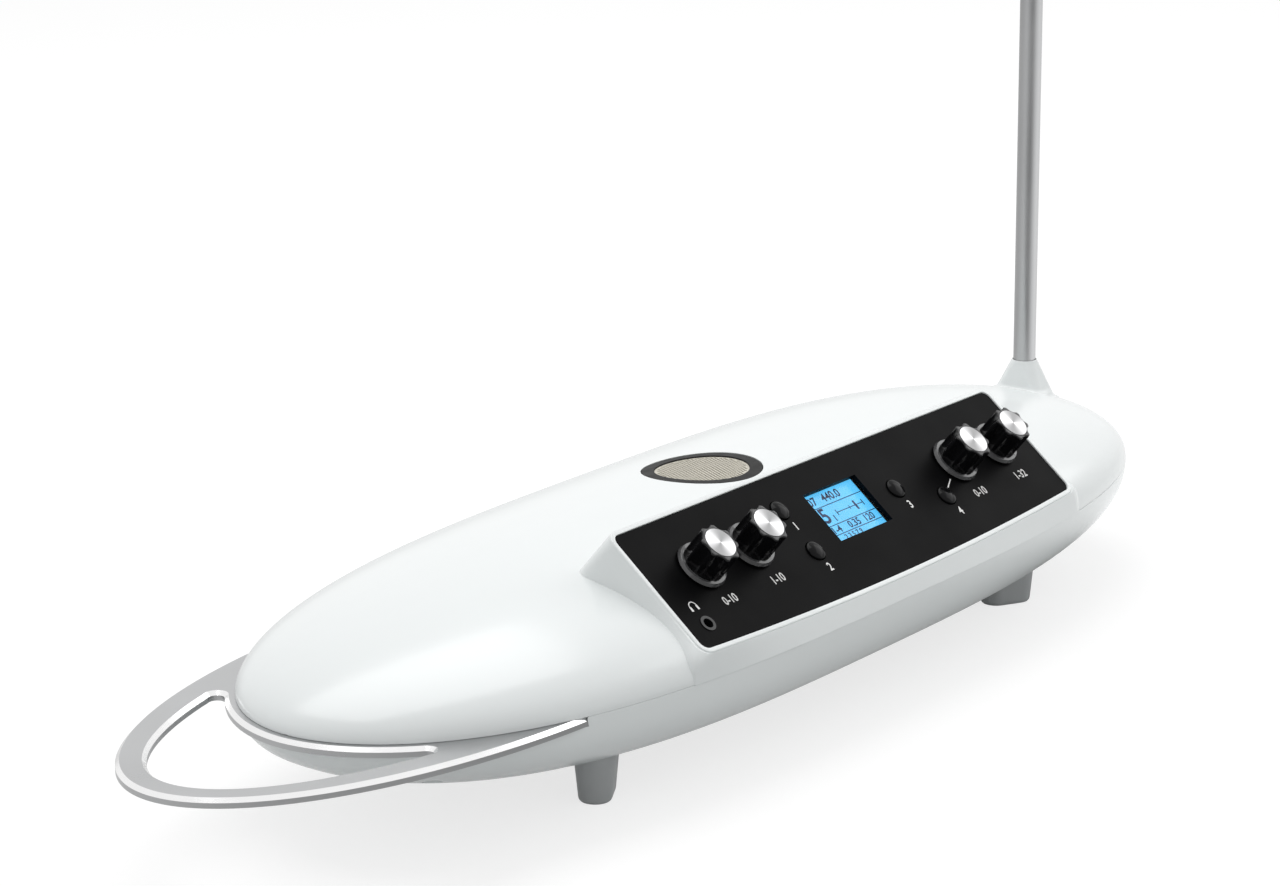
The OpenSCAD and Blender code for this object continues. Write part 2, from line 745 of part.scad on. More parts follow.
switch_w = 6;
switch_h = 3.5;
plunger_r = 1.7;
plunger_gap = 0.2;                  // between plunger and stem with the button pressed
module button_switches() {
    color([0.15, 0.15, 0.16]) for (p = button_spots) at_spot(p, board_w) {
        translate([-switch_w / 2, -switch_w / 2, 0]) cube([switch_w, switch_w, switch_h]);
        cylinder(r = plunger_r, h = stem_low - button_travel - plunger_gap - board_w);
    }
}

// ---- Speaker and its grille ----
hole_pitch = 2.9;
hole_d = 1.8;
mesh_sunk = 0.6;                    // depth of the perforated disc below the crown
mesh_edge = 1.6;                    // no hole's middle is nearer to the disc's edge
mesh_rows = ceil(mesh_d / hole_pitch / 2);
module speaker_grille() {
    color(mesh_cream) difference() {
        crown_slice(mesh_d, mesh_sunk, grille_deep - mesh_sunk - fit);
        for (i = [-mesh_rows:mesh_rows], j = [-mesh_rows:mesh_rows])
            let (x = hole_pitch * (i + j / 2), y = hole_pitch * j * sqrt(3) / 2)
            if (norm([x, y]) < mesh_d / 2 - mesh_edge)
                translate([x, grille_y + y, speaker_top]) cylinder(d = hole_d, h = crown_h, $fn = 16);
    }
}

module grille_ring() {
    color(black_abs) difference() {
        crown_slice(grille_d, gap, grille_deep - gap - fit);
        translate([0, grille_y, 0]) cylinder(d = mesh_d + gap, h = crown_h + over);
    }
}

module lathe(points) { translate([0, grille_y, speaker_top]) rotate_extrude($fn = 96) polygon(points); }

cone_rim = 0.6;
basket_r = grille_d / 2 + 0.6;
magnet_top = -12;
module speaker_basket() {
    color(steel) lathe([[basket_r, -cone_rim], [basket_r, -1.8], [basket_r - 2, -1.8], [12.5, magnet_top],
        [5, magnet_top], [5, magnet_top + 1.2], [11.8, magnet_top + 1.2], [basket_r - 3.4, -cone_rim]]);
}

module speaker_cone() {
    color(black_abs) lathe([[basket_r, 0], [basket_r, -cone_rim], [basket_r - 3.6, -cone_rim],
        [6.5, -8.2], [0, -6.4], [0, -5.8], [6.4, -7.4], [basket_r - 3.4, 0]]);
}

magnet_r = 13;
magnet_h = 7;
module speaker_magnet() {
    color(steel) translate([0, grille_y, speaker_top + magnet_top - magnet_h])
        cylinder(r = magnet_r, h = magnet_h);
}

// ---- Main board and rear sockets ----
socket_back = bay_back - bay_wall - 1;  // rear face of the socket bodies, inside the bay's wall
panel_out = bay_back + panel_t;
power_x = -56;
dc_x = -38;
usb_x = -17;
cv_x = 8;
right_x = 31;
left_x = 54;
jack_bush_r = 4.7;
jack_stand = 3.4;
dc_r = 4.2;
usb_w = 12;
power_r = 4;
power_travel = 1.5;
board_header_h = 4;

module main_board() {
    color(board_green) difference() {
        union() {
            translate([-main_board_half, main_board_y[0], main_board_low])
                cube([2 * main_board_half, main_board_y[1] - main_board_y[0], board_t]);
            translate([-header_u / 2 - header_end, main_board_y[0] + 1, board_top])
                cube([header_u + 2 * header_end, 6, board_header_h]);
        }
        for (p = main_post_spots) translate([p[0], p[1], main_board_low - over])
            cylinder(r = small_screw_r + gap, h = board_t + 2 * over);
    }
}

// Chips: middle x and y, length, width and height
chips = [[-30, 8, 14, 14, 1.6], [6, 6, 10, 10, 1.4], [30, 12, 18, 8, 2], [-48, -14, 8, 6, 1.4],
    [36, -14, 12, 7, 2.4]];
capacitors = [[-46, 12], [-46, 22], [-10, 24], [50, -2]];
capacitor_r = 3.2;
capacitor_h = 8;
module board_chips() {
    color([0.12, 0.12, 0.13]) {
        for (c = chips) translate([c[0] - c[2] / 2, c[1] - c[3] / 2, board_top]) cube([c[2], c[3], c[4]]);
        for (c = capacitors) translate([c[0], c[1], board_top]) cylinder(r = capacitor_r, h = capacitor_h);
    }
}

module to_rear(x) { translate([x, 0, socket_z]) rotate([-90, 0, 0]) children(); }

panel_gap = 0.5;                    // round the rear panel in its bay
module rear_panel() {
    color(black_abs) difference() {
        translate([-bay_half + panel_gap, bay_back, bay_low + panel_gap])
            cube([2 * (bay_half - panel_gap), panel_t, bay_top - bay_low - 2 * panel_gap]);
        for (x = [cv_x, right_x, left_x]) to_rear(x) cylinder(r = jack_bush_r + gap, h = half_w);
        to_rear(dc_x) cylinder(r = dc_r + gap, h = half_w);
        to_rear(power_x) cylinder(r = power_r + slide_gap, h = half_w);
        translate([usb_x - usb_w / 2 - gap, 0, socket_z - socket_half - gap])
            cube([usb_w + 2 * gap, half_w, 2 * (socket_half + gap)]);
    }
}

// A socket's body on the main board, behind the rear panel
module socket_body(x, w, l) {
    translate([x - w / 2, socket_back - l, board_top]) cube([w, l, 2 * socket_half]);
}
// A socket's neck, which stands out of the rear panel
module socket_neck(x, r, stand) {
    length = panel_out - socket_back + stand + over;
    to_rear(x) translate([0, 0, socket_back - over]) cylinder(r = r, h = length);
}

jack_body = [14, 22];
jack_deep = 26;
module large_jack(x) {
    color(black_abs) difference() {
        union() {
            socket_body(x, jack_body[0], jack_body[1]);
            socket_neck(x, jack_bush_r, jack_stand);
        }
        to_rear(x) translate([0, 0, panel_out + jack_stand - jack_deep])
            cylinder(d = jack_bore, h = jack_deep + over);
    }
}

nut_r = 6.6;
nut_t = 2;
module jack_nuts() {
    color(steel) for (x = [cv_x, right_x, left_x]) to_rear(x) translate([0, 0, panel_out]) difference() {
        cylinder(r = nut_r, h = nut_t, $fn = 6);
        translate([0, 0, -over]) cylinder(r = jack_bush_r + fit, h = nut_t + 2 * over);
    }
}

dc_body = [9, 13];
dc_stand = 0.6;
dc_deep = 9.5;
dc_mouth_r = 3.1;
dc_pin_r = 1;
dc_pin_l = 8;
module dc_socket() {
    color(black_abs) difference() {
        union() {
            socket_body(dc_x, dc_body[0], dc_body[1]);
            socket_neck(dc_x, dc_r, dc_stand);
        }
        to_rear(dc_x) translate([0, 0, panel_out + dc_stand - dc_deep]) difference() {
            cylinder(r = dc_mouth_r, h = dc_deep + over);
            cylinder(r = dc_pin_r, h = dc_pin_l);
        }
    }
}

usb_mouth = [8.6, 8];
usb_body_l = 13;
usb_deep = 9;
usb_tongue = [5.6, 3.2];
usb_tongue_low = -1.2;
usb_out = panel_out + 0.8;
module usb_socket() {
    color(satin_metal) difference() {
        translate([usb_x - usb_w / 2, socket_back - usb_body_l, board_top])
            cube([usb_w, usb_out - socket_back + usb_body_l, 2 * socket_half]);
        difference() {
            translate([usb_x - usb_mouth[0] / 2, usb_out - usb_deep, socket_z - usb_mouth[1] / 2])
                cube([usb_mouth[0], usb_deep + over, usb_mouth[1]]);
            translate([usb_x - usb_tongue[0] / 2, usb_out - usb_deep - over, socket_z + usb_tongue_low])
                cube([usb_tongue[0], usb_deep, usb_tongue[1]]);
        }
    }
}

power_stem_end = panel_out - 6.6;
power_switch_size = [8, 9];
power_switch_gap = 0.3;             // between switch and stem with the button pressed
module power_switch() {
    back = power_stem_end - power_travel - power_switch_gap;
    color(black_abs) translate([power_x - power_switch_size[0] / 2, back - power_switch_size[1], board_top])
        cube([power_switch_size[0], power_switch_size[1], 2 * socket_half]);
}

power_proud = 2.2;
power_flange_r = 4.9;
power_flange_t = 1.4;
power_stem_r = 2.4;
module power_button() {
    inner = bay_back - slide_gap;
    color([0.10, 0.10, 0.11]) to_rear(power_x) {
        translate([0, 0, inner]) cylinder(r = power_r, h = panel_t + slide_gap + power_proud);
        translate([0, 0, inner - power_flange_t]) cylinder(r = power_flange_r, h = power_flange_t);
        translate([0, 0, power_stem_end]) cylinder(r = power_stem_r, h = inner - power_stem_end);
    }
}

// ---- Underside ----
module stand_insert() {
    color(brass) translate([0, 0, stand_mouth]) difference() {
        cylinder(r = stand_r, h = stand_depth);
        translate([0, 0, -over]) cylinder(d = stand_bore, h = stand_depth + 2 * over);
    }
}

foot_top = 20;
foot_sole_in = 1;                   // sole's edge inside the foot's side
foot_flare = 0.3;
module foot_blank(sx, sy) {
    translate([sx * foot_x, sy * foot_y, foot_floor]) rotate(sx * sy * foot_turn) hull()
        for (s = [-1, 1]) translate([s * (foot_l - foot_w) / 2, 0, 0]) {
            cylinder(r = foot_w / 2 - foot_taper - foot_sole_in, h = skin, $fn = 24);
            translate([0, 0, foot_round]) cylinder(r = foot_w / 2 - foot_taper, h = skin, $fn = 24);
            translate([0, 0, foot_top]) cylinder(r = foot_w / 2 + foot_flare, h = skin, $fn = 24);
        }
}

foot_head = 3;                      // how deep a foot's screw head is sunk
module foot(sx, sy) {
    color(foot_grey) difference() {
        foot_blank(sx, sy);
        lower_form();
        translate([sx * foot_x, sy * foot_y, foot_floor - over]) {
            cylinder(r = head_r + slide_gap, h = foot_head + over);
            cylinder(r = screw_r + gap, h = foot_top + 2 * over);
        }
    }
}

module foot_screws() {
    color(steel) for (p = foot_spots) translate([p[0], p[1], foot_floor + foot_head])
        screw(screw_r, head_r, keel_under(p[0], p[1]) + foot_grip - foot_floor - foot_head);
}

// ---- Wires ----
// Flat strip of constant thickness along points [y, z], drawn across the case
function unit(v) = v / norm(v);
function strip_normal(path, i) =
    let (a = path[max(0, i - 1)], b = path[min(len(path) - 1, i + 1)], t = unit(b - a)) [-t[1], t[0]];
function strip(path, t) = concat([for (i = [0:len(path) - 1]) path[i] + strip_normal(path, i) * t / 2],
    [for (i = [len(path) - 1:-1:0]) path[i] - strip_normal(path, i) * t / 2]);

ribbon_t = 0.8;
header_back = panel_point([0, (header_v[0] + header_v[1]) / 2], board_w - board_t - header_h);
ribbon_start = [header_back[1], header_back[2]];
into_case = [sin(face_slope), -cos(face_slope)];
ribbon_path = concat([ribbon_start + 0.3 * into_case, ribbon_start + 3.6 * into_case],
    [for (p = [[-19.5, 11.3], [-15, 6.8], [-9, 3.8], [0.7, 2]]) [main_board_y[0] + p[0], board_top + p[1]]]);

module panel_ribbon() {
    color([0.55, 0.57, 0.6]) translate([-header_u / 2, 0, 0]) rotate([90, 0, 90])
        linear_extrude(header_u) polygon(strip(ribbon_path, ribbon_t));
}

// Round wire: a tube of 8 sides swept along hand-laid points
lead_d = 1.8;
function tangent(path, i) = unit(path[min(len(path) - 1, i + 1)] - path[max(0, i - 1)]);
function lead_ring(path, i, r) =
    let (t = tangent(path, i), n = unit(cross(t, [0.2, 1, 0.1])), b = cross(t, n))
    [for (k = [0:7]) path[i] + r * (cos(45 * k) * n + sin(45 * k) * b)];
module lead(path) {
    last = len(path) - 1;
    polyhedron([for (i = [0:last]) each lead_ring(path, i, lead_d / 2)],
        concat([[for (k = [0:7]) k]],
            [for (i = [0:last - 1], k = [0:7]) each let (a = 8 * i + k, b = 8 * i + (k + 1) % 8)
                [[a, a + 8, b + 8], [a, b + 8, b]]],
            [[for (k = [7:-1:0]) 8 * last + k]]));
}

antenna_lead_path = [[rod_x - 4.9, 0, socket_low - 0.3], [rod_x - 4.9, 0.1, -2], [rod_x - 6, 0.6, -5],
    [rod_x - 10, 1.5, -8], [174, 3, -11], [154, 4, -12.5], [128, 5, -13.5], [104, 6, -14], [84, 7, -14],
    [70, 8, -13.4], [63, 8.6, -13], [60, 9, -14], [59, 9, -15], [59, 9, board_top + 0.3]];
loop_lead_path = [[-160.5, -47, -loop_t - 0.3], [-160.4, -46.9, -5], [-159.4, -44, -7], [-156, -39.5, -9],
    [-144, -35, -11.5], [-122, -28, -13.5], [-98, -20, -14], [-80, -14, -14], [-68, -11, -13.4],
    [-62, -9.4, -13], [-59, -9, -14], [-58, -9, -15], [-58, -9, board_top + 0.3]];

module antenna_lead() { color([0.7, 0.1, 0.1]) lead(antenna_lead_path); }
module loop_lead() { color([0.1, 0.1, 0.1]) lead(loop_lead_path); }

place() upper_shell();
place() lower_shell();
place() volume_antenna();
place() loop_screws();
place() pitch_antenna();
place() antenna_socket();
place() faceplate();
place() display_window();
place() display_module();
place() control_board();
place() board_standoffs();
place() board_screws();
place() headphone_jack();
place() knob(volume_spot);  // volume_knob
place() knob(pitch_spot);  // pitch_knob
place() knob(delay_spot);  // delay_knob
place() knob(presets_spot);  // presets_knob
place() knob_cap(volume_spot);  // volume_knob_cap
place() knob_cap(pitch_spot);  // pitch_knob_cap
place() knob_cap(delay_spot);  // delay_knob_cap
place() knob_cap(presets_spot);  // presets_knob_cap
place() shaft(volume_spot);  // volume_shaft
place() shaft(pitch_spot);  // pitch_shaft
place() shaft(delay_spot);  // delay_shaft
place() shaft(presets_spot);  // presets_shaft
place() pot(volume_spot, steel);  // volume_pot
place() pot(pitch_spot, steel);  // pitch_pot
place() pot(delay_spot, steel);  // delay_pot
place() pot(presets_spot, brass);  // presets_encoder
place() push_button(scale_spot);  // scale_button
place() push_button(root_spot);  // root_button
place() push_button(setup_spot);  // setup_button
place() push_button(echo_spot);  // delay_button
place() button_switches();
place() speaker_grille();
place() grille_ring();
place() speaker_basket();
place() speaker_cone();
place() speaker_magnet();
place() main_board();
place() board_chips();
place() rear_panel();
place() large_jack(left_x);  // audio_jack_left
place() large_jack(right_x);  // audio_jack_right
place() large_jack(cv_x);  // cv_jack
place() jack_nuts();
place() usb_socket();
place() dc_socket();
place() power_switch();
place() power_button();
place() case_screws();
place() stand_insert();
place() foot(-1, -1);  // foot_front_left
place() foot(1, -1);  // foot_front_right
place() foot(-1, 1);  // foot_rear_left
place() foot(1, 1);  // foot_rear_right
place() foot_screws();
place() panel_ribbon();
place() antenna_lead();
place() loop_lead();
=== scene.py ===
import json
from contextlib import contextmanager
from functools import partialmethod
from math import acos, asin, atan2, copysign, cos, dist, exp, hypot, pi, radians, sin, sqrt, tau

import bmesh
import bpy
from mathutils import Matrix, Vector

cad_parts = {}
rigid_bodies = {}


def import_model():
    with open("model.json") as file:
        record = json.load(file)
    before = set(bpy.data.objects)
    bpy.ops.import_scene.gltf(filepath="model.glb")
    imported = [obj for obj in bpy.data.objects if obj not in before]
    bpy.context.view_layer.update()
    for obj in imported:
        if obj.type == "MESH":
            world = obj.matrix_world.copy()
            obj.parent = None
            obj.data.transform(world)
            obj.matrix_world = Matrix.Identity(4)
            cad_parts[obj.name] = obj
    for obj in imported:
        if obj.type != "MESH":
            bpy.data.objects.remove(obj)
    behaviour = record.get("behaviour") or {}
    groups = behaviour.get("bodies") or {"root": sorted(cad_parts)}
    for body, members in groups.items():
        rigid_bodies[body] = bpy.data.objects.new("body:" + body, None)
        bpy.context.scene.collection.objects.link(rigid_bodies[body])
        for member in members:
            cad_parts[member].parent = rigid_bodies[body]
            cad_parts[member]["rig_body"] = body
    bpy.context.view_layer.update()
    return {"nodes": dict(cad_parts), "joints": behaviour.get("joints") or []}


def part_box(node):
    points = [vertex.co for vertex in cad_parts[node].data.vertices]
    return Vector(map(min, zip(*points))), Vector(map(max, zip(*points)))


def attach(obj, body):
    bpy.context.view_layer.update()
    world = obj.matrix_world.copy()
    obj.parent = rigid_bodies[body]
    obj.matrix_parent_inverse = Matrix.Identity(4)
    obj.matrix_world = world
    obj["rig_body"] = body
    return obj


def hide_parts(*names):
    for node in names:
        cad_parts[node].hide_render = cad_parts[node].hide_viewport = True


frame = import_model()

# ==== Upper shell ====
# The white top half of the case: one moulding of glossy ABS with the sloping control housing
# and the boss of the pitch rod. Its wall is thin, and screw posts reach down to the joint.
# Everything on the case is drawn in millimetres from the middle of the joint of the two shells.
shell_low, shell_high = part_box("upper_shell")
case_frame = (Matrix.Translation(((shell_low.x + shell_high.x) / 2, 0, shell_low.z))
              @ Matrix.Scale(0.001, 4))
half_l = 500 * (shell_high.x - shell_low.x)
half_w = 1000 * shell_high.y
crown_h = 30.2
wall = 2.4
joint_round = 0.3
fine = 240                              # stations along the visible skins
coarse = 60                             # stations along the hidden ones


def socket_of(source):
    """The socket that a source gives: a node stands for its first output."""
    if isinstance(source, Number):
        return source.socket
    return source.outputs[0] if isinstance(source, bpy.types.Node) else source


class Number:
    """A number in a node tree, so that a formula is written as one."""

    def __init__(self, tree, source):
        self.tree, self.socket = tree, socket_of(source)

    def math(self, kind, *others):
        return Number(self.tree, add_node(self.tree, "ShaderNodeMath", enumerate((self, *others)),
                                          operation=kind))

    def __rsub__(self, whole):
        return self.math("MULTIPLY", -1.0).math("ADD", whole)

    __add__ = partialmethod(math, "ADD")
    __sub__ = partialmethod(math, "SUBTRACT")
    __mul__ = partialmethod(math, "MULTIPLY")
    __truediv__ = partialmethod(math, "DIVIDE")
    __pow__ = partialmethod(math, "POWER")


SOCKETS = {int: "NodeSocketInt", float: "NodeSocketFloat", str: "NodeSocketObject"}


def shape_tree(name, inputs, wants_points=False):
    """An empty Geometry Nodes tree with named inputs; returns it with its first and last node."""
    tree = bpy.data.node_groups.new(name, "GeometryNodeTree")
    if wants_points:
        tree.interface.new_socket("Points", in_out="INPUT", socket_type="NodeSocketGeometry")
    for label, value in inputs.items():
        kind = SOCKETS.get(type(value), "NodeSocketMaterial")
        tree.interface.new_socket(label, in_out="INPUT", socket_type=kind)
    tree.interface.new_socket("Shape", in_out="OUTPUT", socket_type="NodeSocketGeometry")
    return tree, tree.nodes.new("NodeGroupInput"), tree.nodes.new("NodeGroupOutput")


def add_node(tree, kind, links=(), **settings):
    """Adds a node; settings are its properties, and links are pairs of input and what feeds it."""
    node = tree.nodes.new(kind)
    for key, value in settings.items():
        setattr(node, key, value)
    feed(node, links)
    return node


def feed(node, links):
    """Feeds inputs of a node, from sockets or with constants."""
    for label, source in links:
        source = socket_of(source)
        if isinstance(source, bpy.types.NodeSocket):
            node.id_data.links.new(source, node.inputs[label])
        else:
            node.inputs[label].default_value = source


def finish_tree(tree, end, geometry, material):
    """Realizes what the tree has made, gives it its material and sends it out."""
    real = add_node(tree, "GeometryNodeRealizeInstances", [(0, geometry)])
    painted = add_node(tree, "GeometryNodeSetMaterial",
                       [("Geometry", real), ("Material", material)])
    feed(end, [(0, painted)])


def evaluated(piece):
    """The mesh of a piece with its modifiers applied."""
    graph = bpy.context.evaluated_depsgraph_get()
    return bpy.data.meshes.new_from_object(piece.evaluated_get(graph), depsgraph=graph)


def applied(piece):
    """Applies all modifiers of a piece."""
    mesh = evaluated(piece)
    piece.modifiers.clear()
    piece.data = mesh
    return piece


def modified(piece, kind, **settings):
    """Gives a piece a modifier, which applied() then works into its mesh."""
    modifier = piece.modifiers.new("change", kind)
    for key, value in settings.items():
        setattr(modifier, key, value)
    return piece


@contextmanager
def editing(piece):
    """Opens a piece's mesh for editing."""
    shape = bmesh.new()
    shape.from_mesh(piece.data)
    yield shape
    shape.to_mesh(piece.data)
    shape.free()


def link_piece(name, mesh):
    piece = bpy.data.objects.new(name, mesh)
    bpy.context.scene.collection.objects.link(piece)
    return piece


def run_tree(name, tree, inputs, points=()):
    """Runs a shape tree on some points and returns its result as a plain mesh piece."""
    start = bpy.data.meshes.new(name)
    start.from_pydata(list(points), [], [])
    piece = link_piece(name, start)
    modifier = piece.modifiers.new("shape", "NODES")
    modifier.node_group = tree
    for item in tree.interface.items_tree:
        if item.in_out == "INPUT" and item.name in inputs:
            modifier[item.identifier] = inputs[item.name]
    return applied(piece)


def face_outwards(piece, merge=1e-4):
    """Welds a piece's doubles, and turns its faces outwards."""
    with editing(piece) as solid:
        bmesh.ops.remove_doubles(solid, verts=solid.verts, dist=merge)
        bmesh.ops.dissolve_degenerate(solid, edges=solid.edges, dist=merge / 10)
        bmesh.ops.recalc_face_normals(solid, faces=solid.faces)
    return piece


def solid_piece(name, points, faces):
    mesh = bpy.data.meshes.new(name)
    mesh.from_pydata([tuple(p) for p in points], [], faces)
    return face_outwards(link_piece(name, mesh))


def loft(name, rings, hollow=False):
    """A skin over rings of equally many points, with a flat face at each end. A hollow one has
    no ends: its last ring meets its first."""
    n, m = len(rings[0]), len(rings)
    faces = [(k * n + i, k * n + (i + 1) % n, (k + 1) % m * n + (i + 1) % n, (k + 1) % m * n + i)
             for k in range(m if hollow else m - 1) for i in range(n)]
    if not hollow:
        faces += [tuple(range(n)), tuple(range((m - 1) * n, m * n))]
    return solid_piece(name, [p for ring in rings for p in ring], faces)


def circle(r, z, sides=64, x=0, y=0):
    return [(x + r * cos(tau * i / sides), y + r * sin(tau * i / sides), z)
            for i in range(sides)]


def drum(x, y, low, high, r, sides=48):
    """A plain upright cylinder, as a cutter or a post."""
    return loft("drum", [circle(r, z, sides, x, y) for z in (low, high)])


def drums(spots, low, high, r, sides=48):
    """Drums at several spots; a height may be a function of the spot."""
    def at(height, x, y):
        return height(x, y) if callable(height) else height
    return [drum(x, y, at(low, x, y), at(high, x, y), r, sides) for x, y in spots]


def block(low, high):
    """A plain rectangular cutter."""
    corners = [(low[0], low[1]), (high[0], low[1]), (high[0], high[1]), (low[0], high[1])]
    return loft("block", [[(*p, low[2]) for p in corners], [(*p, high[2]) for p in corners]])


def bar(x, y, length, width, low, high):
    """A block over a middle point."""
    return block((x - length / 2, y - width / 2, low), (x + length / 2, y + width / 2, high))


def combine(piece, *others, kind="DIFFERENCE"):
    """Cuts the others out of a piece, or joins them to it."""
    for other in others:
        modified(piece, "BOOLEAN", operation=kind, solver="MANIFOLD", object=other)
    applied(piece)
    for other in others:
        bpy.data.objects.remove(other)
    return piece


def hull_tree():
    """Half a boat-shaped hull: a grid bent by the outline in plan, a long profile and a section,
    closed by a flat lid at the joint. The joint's edge is rounded."""
    tree, start, end = shape_tree("hull_form", {
        "Stations": 1, "Ribs": 1, "Half length": 1.0, "Half width": 1.0, "Height": 1.0,
        "Outline x": 1.0, "Outline y": 1.0, "Profile x": 1.0, "Profile z": 1.0, "Section": 1.0,
        "Edge round": 1.0, "Lid drop": 1.0, "Finish": None})

    def value(label):
        return Number(tree, start.outputs[label])

    def sheet(across, bend):
        """A grid over the hull's length; bend gives y, z and the edge's pull at each point."""
        grid = add_node(tree, "GeometryNodeMeshGrid",
                        [("Size X", 1.0), ("Size Y", 1.0), ("Vertices X", value("Stations")),
                         ("Vertices Y", across)])
        place = add_node(tree, "GeometryNodeInputPosition")
        split = add_node(tree, "ShaderNodeSeparateXYZ", [(0, place)])
        along = (Number(tree, split) + 0.5) * pi
        side = Number(tree, split.outputs[1]) * 2.0
        share = along.math("COSINE")
        reach = share.math("ABSOLUTE").math("MINIMUM", 1.0)
        plan = (1.0 - reach ** value("Outline x")).math("MAXIMUM", 0.0) ** (
            value("Outline y").math("POWER", -1.0))
        profile = (1.0 - reach ** value("Profile x")).math("MAXIMUM", 0.0) ** (
            value("Profile z").math("POWER", -1.0))
        y, z, pull = bend(side, plan, profile)
        x = share * value("Half length") * (pull / value("Half length") - 1.0)
        y = y * (1.0 - pull / value("Half width"))
        spot = add_node(tree, "ShaderNodeCombineXYZ", [(0, x), (1, y), (2, z)])
        return add_node(tree, "GeometryNodeSetPosition",
                        [("Geometry", grid), ("Position", spot)])

    def skin(side, plan, profile):
        """The outer skin: its ribs crowd towards the joint, where the edge is rounded."""
        lean = (1.0 - side.math("ABSOLUTE")) ** 2.0 * (pi / 2)
        bulge = value("Section").math("POWER", -1.0) * 2.0
        y = (lean.math("COSINE").math("MAXIMUM", 0.0) ** bulge) * side.math("SIGN") * -1.0
        z = (lean.math("SINE").math("MAXIMUM", 0.0) ** bulge) * profile * value("Height")
        edge = value("Edge round")
        below = (edge - z.math("ABSOLUTE")).math("MAXIMUM", 0.0)
        pull = edge - (edge * edge - below * below).math("MAXIMUM", 0.0).math("SQRT")
        at_rim = z.math("ABSOLUTE").math("LESS_THAN", 1e-5)
        return y * plan * value("Half width"), z - at_rim * value("Lid drop"), pull

    def lid(side, plan, profile):
        """The flat lid at the joint."""
        flat = side * 0.0
        y = side * -1.0 * plan * value("Half width")
        return y, flat - value("Lid drop"), flat + value("Edge round")

    both = add_node(tree, "GeometryNodeJoinGeometry")
    feed(both, [(0, sheet(value("Ribs"), skin)), (0, sheet(2, lid))])
    welded = add_node(tree, "GeometryNodeMergeByDistance",
                      [("Geometry", both), ("Distance", 1e-4)])
    finish_tree(tree, end, welded, start.outputs["Finish"])
    return tree


hull_form = hull_tree()
plan_powers = {"Outline x": 3.3, "Outline y": 1.95}
crown_powers = {"Profile x": 3.1, "Profile z": 1.84, "Section": 2.0}


def hull(name, height, powers, inset=0.0, stations=fine, ribs=97, edge=joint_round, drop=0.0):
    """A half hull in the given height, negative for the keel, set in from the outer skin."""
    piece = run_tree(name, hull_form, {
        "Stations": stations + 1, "Ribs": ribs, "Half length": half_l - inset,
        "Half width": half_w - inset, "Height": height - copysign(inset, height),
        "Edge round": edge, "Lid drop": drop, "Finish": None, **plan_powers, **powers})
    return face_outwards(piece)


def falloff(x, half, p, q):
    """From 1 in the middle of the case to 0 at its ends, along a superellipse."""
    return max(0.0, 1 - (abs(x) / half) ** p) ** (1 / q)


def half_width(x, grow=0.0):
    """Half the case's depth in plan at a place along it."""
    return (half_w + grow) * falloff(x, half_l + grow, *plan_powers.values())


def crown_over(x, y):
    """Height of the crown over a point."""
    across = 1 - min(1.0, abs(y) / max(half_width(x), 1e-6)) ** crown_powers["Section"]
    rise = crown_h * falloff(x, half_l, crown_powers["Profile x"], crown_powers["Profile z"])
    return rise * max(0.0, across) ** (1 / crown_powers["Section"])


# The faceplate's outline, slope and place
face_w, face_h, face_r, face_bow = 221.2, 47.1, 3.0, 3.3
face_slope = acos(-frame["joints"][0]["axis"][2])
face_front, face_low = half_w - 5.2, 10.0
face_t = 1.6
rim_w, rim_h, rim_round = 1.8, 0.4, 0.45
panel_in_case = Matrix.Translation((0, -face_front, face_low)) @ Matrix.Rotation(face_slope, 4, "X")
panel_frame = case_frame @ panel_in_case


def arc(cx, cy, r, start, stop, steps):
    return [(cx + r * cos(start + (stop - start) * i / steps),
             cy + r * sin(start + (stop - start) * i / steps)) for i in range(steps + 1)]


def panel_outline(grow):
    """Rounded oblong, larger than the faceplate by grow, whose lower edge bows downwards."""
    half, r = face_w / 2 + grow, max(0.8, face_r + grow)
    big = ((face_w / 2) ** 2 + face_bow ** 2) / (2 * face_bow)
    turn = asin((half - r) / (big + grow - r))
    corner = ((big + grow - r) * sin(turn), big - face_bow - (big + grow - r) * cos(turn))
    down, right = -pi / 2, pi / 2
    sides = [v for v in (face_h * i / 12 for i in range(1, 12)) if corner[1] < v < face_h + grow - r]
    return (arc(0, big - face_bow, big + grow, down - turn, down + turn, 64)[1:-1]
            + arc(corner[0], corner[1], r, down + turn, 0, 8)
            + [(half, v) for v in sides]
            + arc(half - r, face_h + grow - r, r, 0, right, 8)
            + arc(r - half, face_h + grow - r, r, right, pi, 8)
            + [(-half, v) for v in reversed(sides)]
            + arc(-corner[0], corner[1], r, pi, pi + right - turn, 8))


def panel_ring(grow, w):
    return [panel_in_case @ Vector((u, v, w)) for u, v in panel_outline(grow)]


def cheek_foot(u, v):
    """Where the housing's side under an outline point meets the joint of the shells."""
    spread = 1.2 + 4.2 * exp(-((v / 14) ** 2))
    x = u * (1 + spread / (face_w / 2 + rim_w))
    return Vector((x, -(1 - max(0.0, v) / (face_h + rim_w)) * (half_width(x) + 0.25), 0))


def housing_ring(t, inset=0.0):
    """Outline of the housing between its rim (t = 0) and the joint (t = 1)."""
    side = (1 - exp(-5 * t)) / (1 - exp(-5))
    ring = []
    for u, v in panel_outline(rim_w - inset):
        top, foot = panel_in_case @ Vector((u, v, rim_h)), cheek_foot(u, v)
        ring.append(Vector((top.x + (foot.x - top.x) * side, top.y + (foot.y - top.y) * t,
                            top.z * (1 - t))))
    return ring


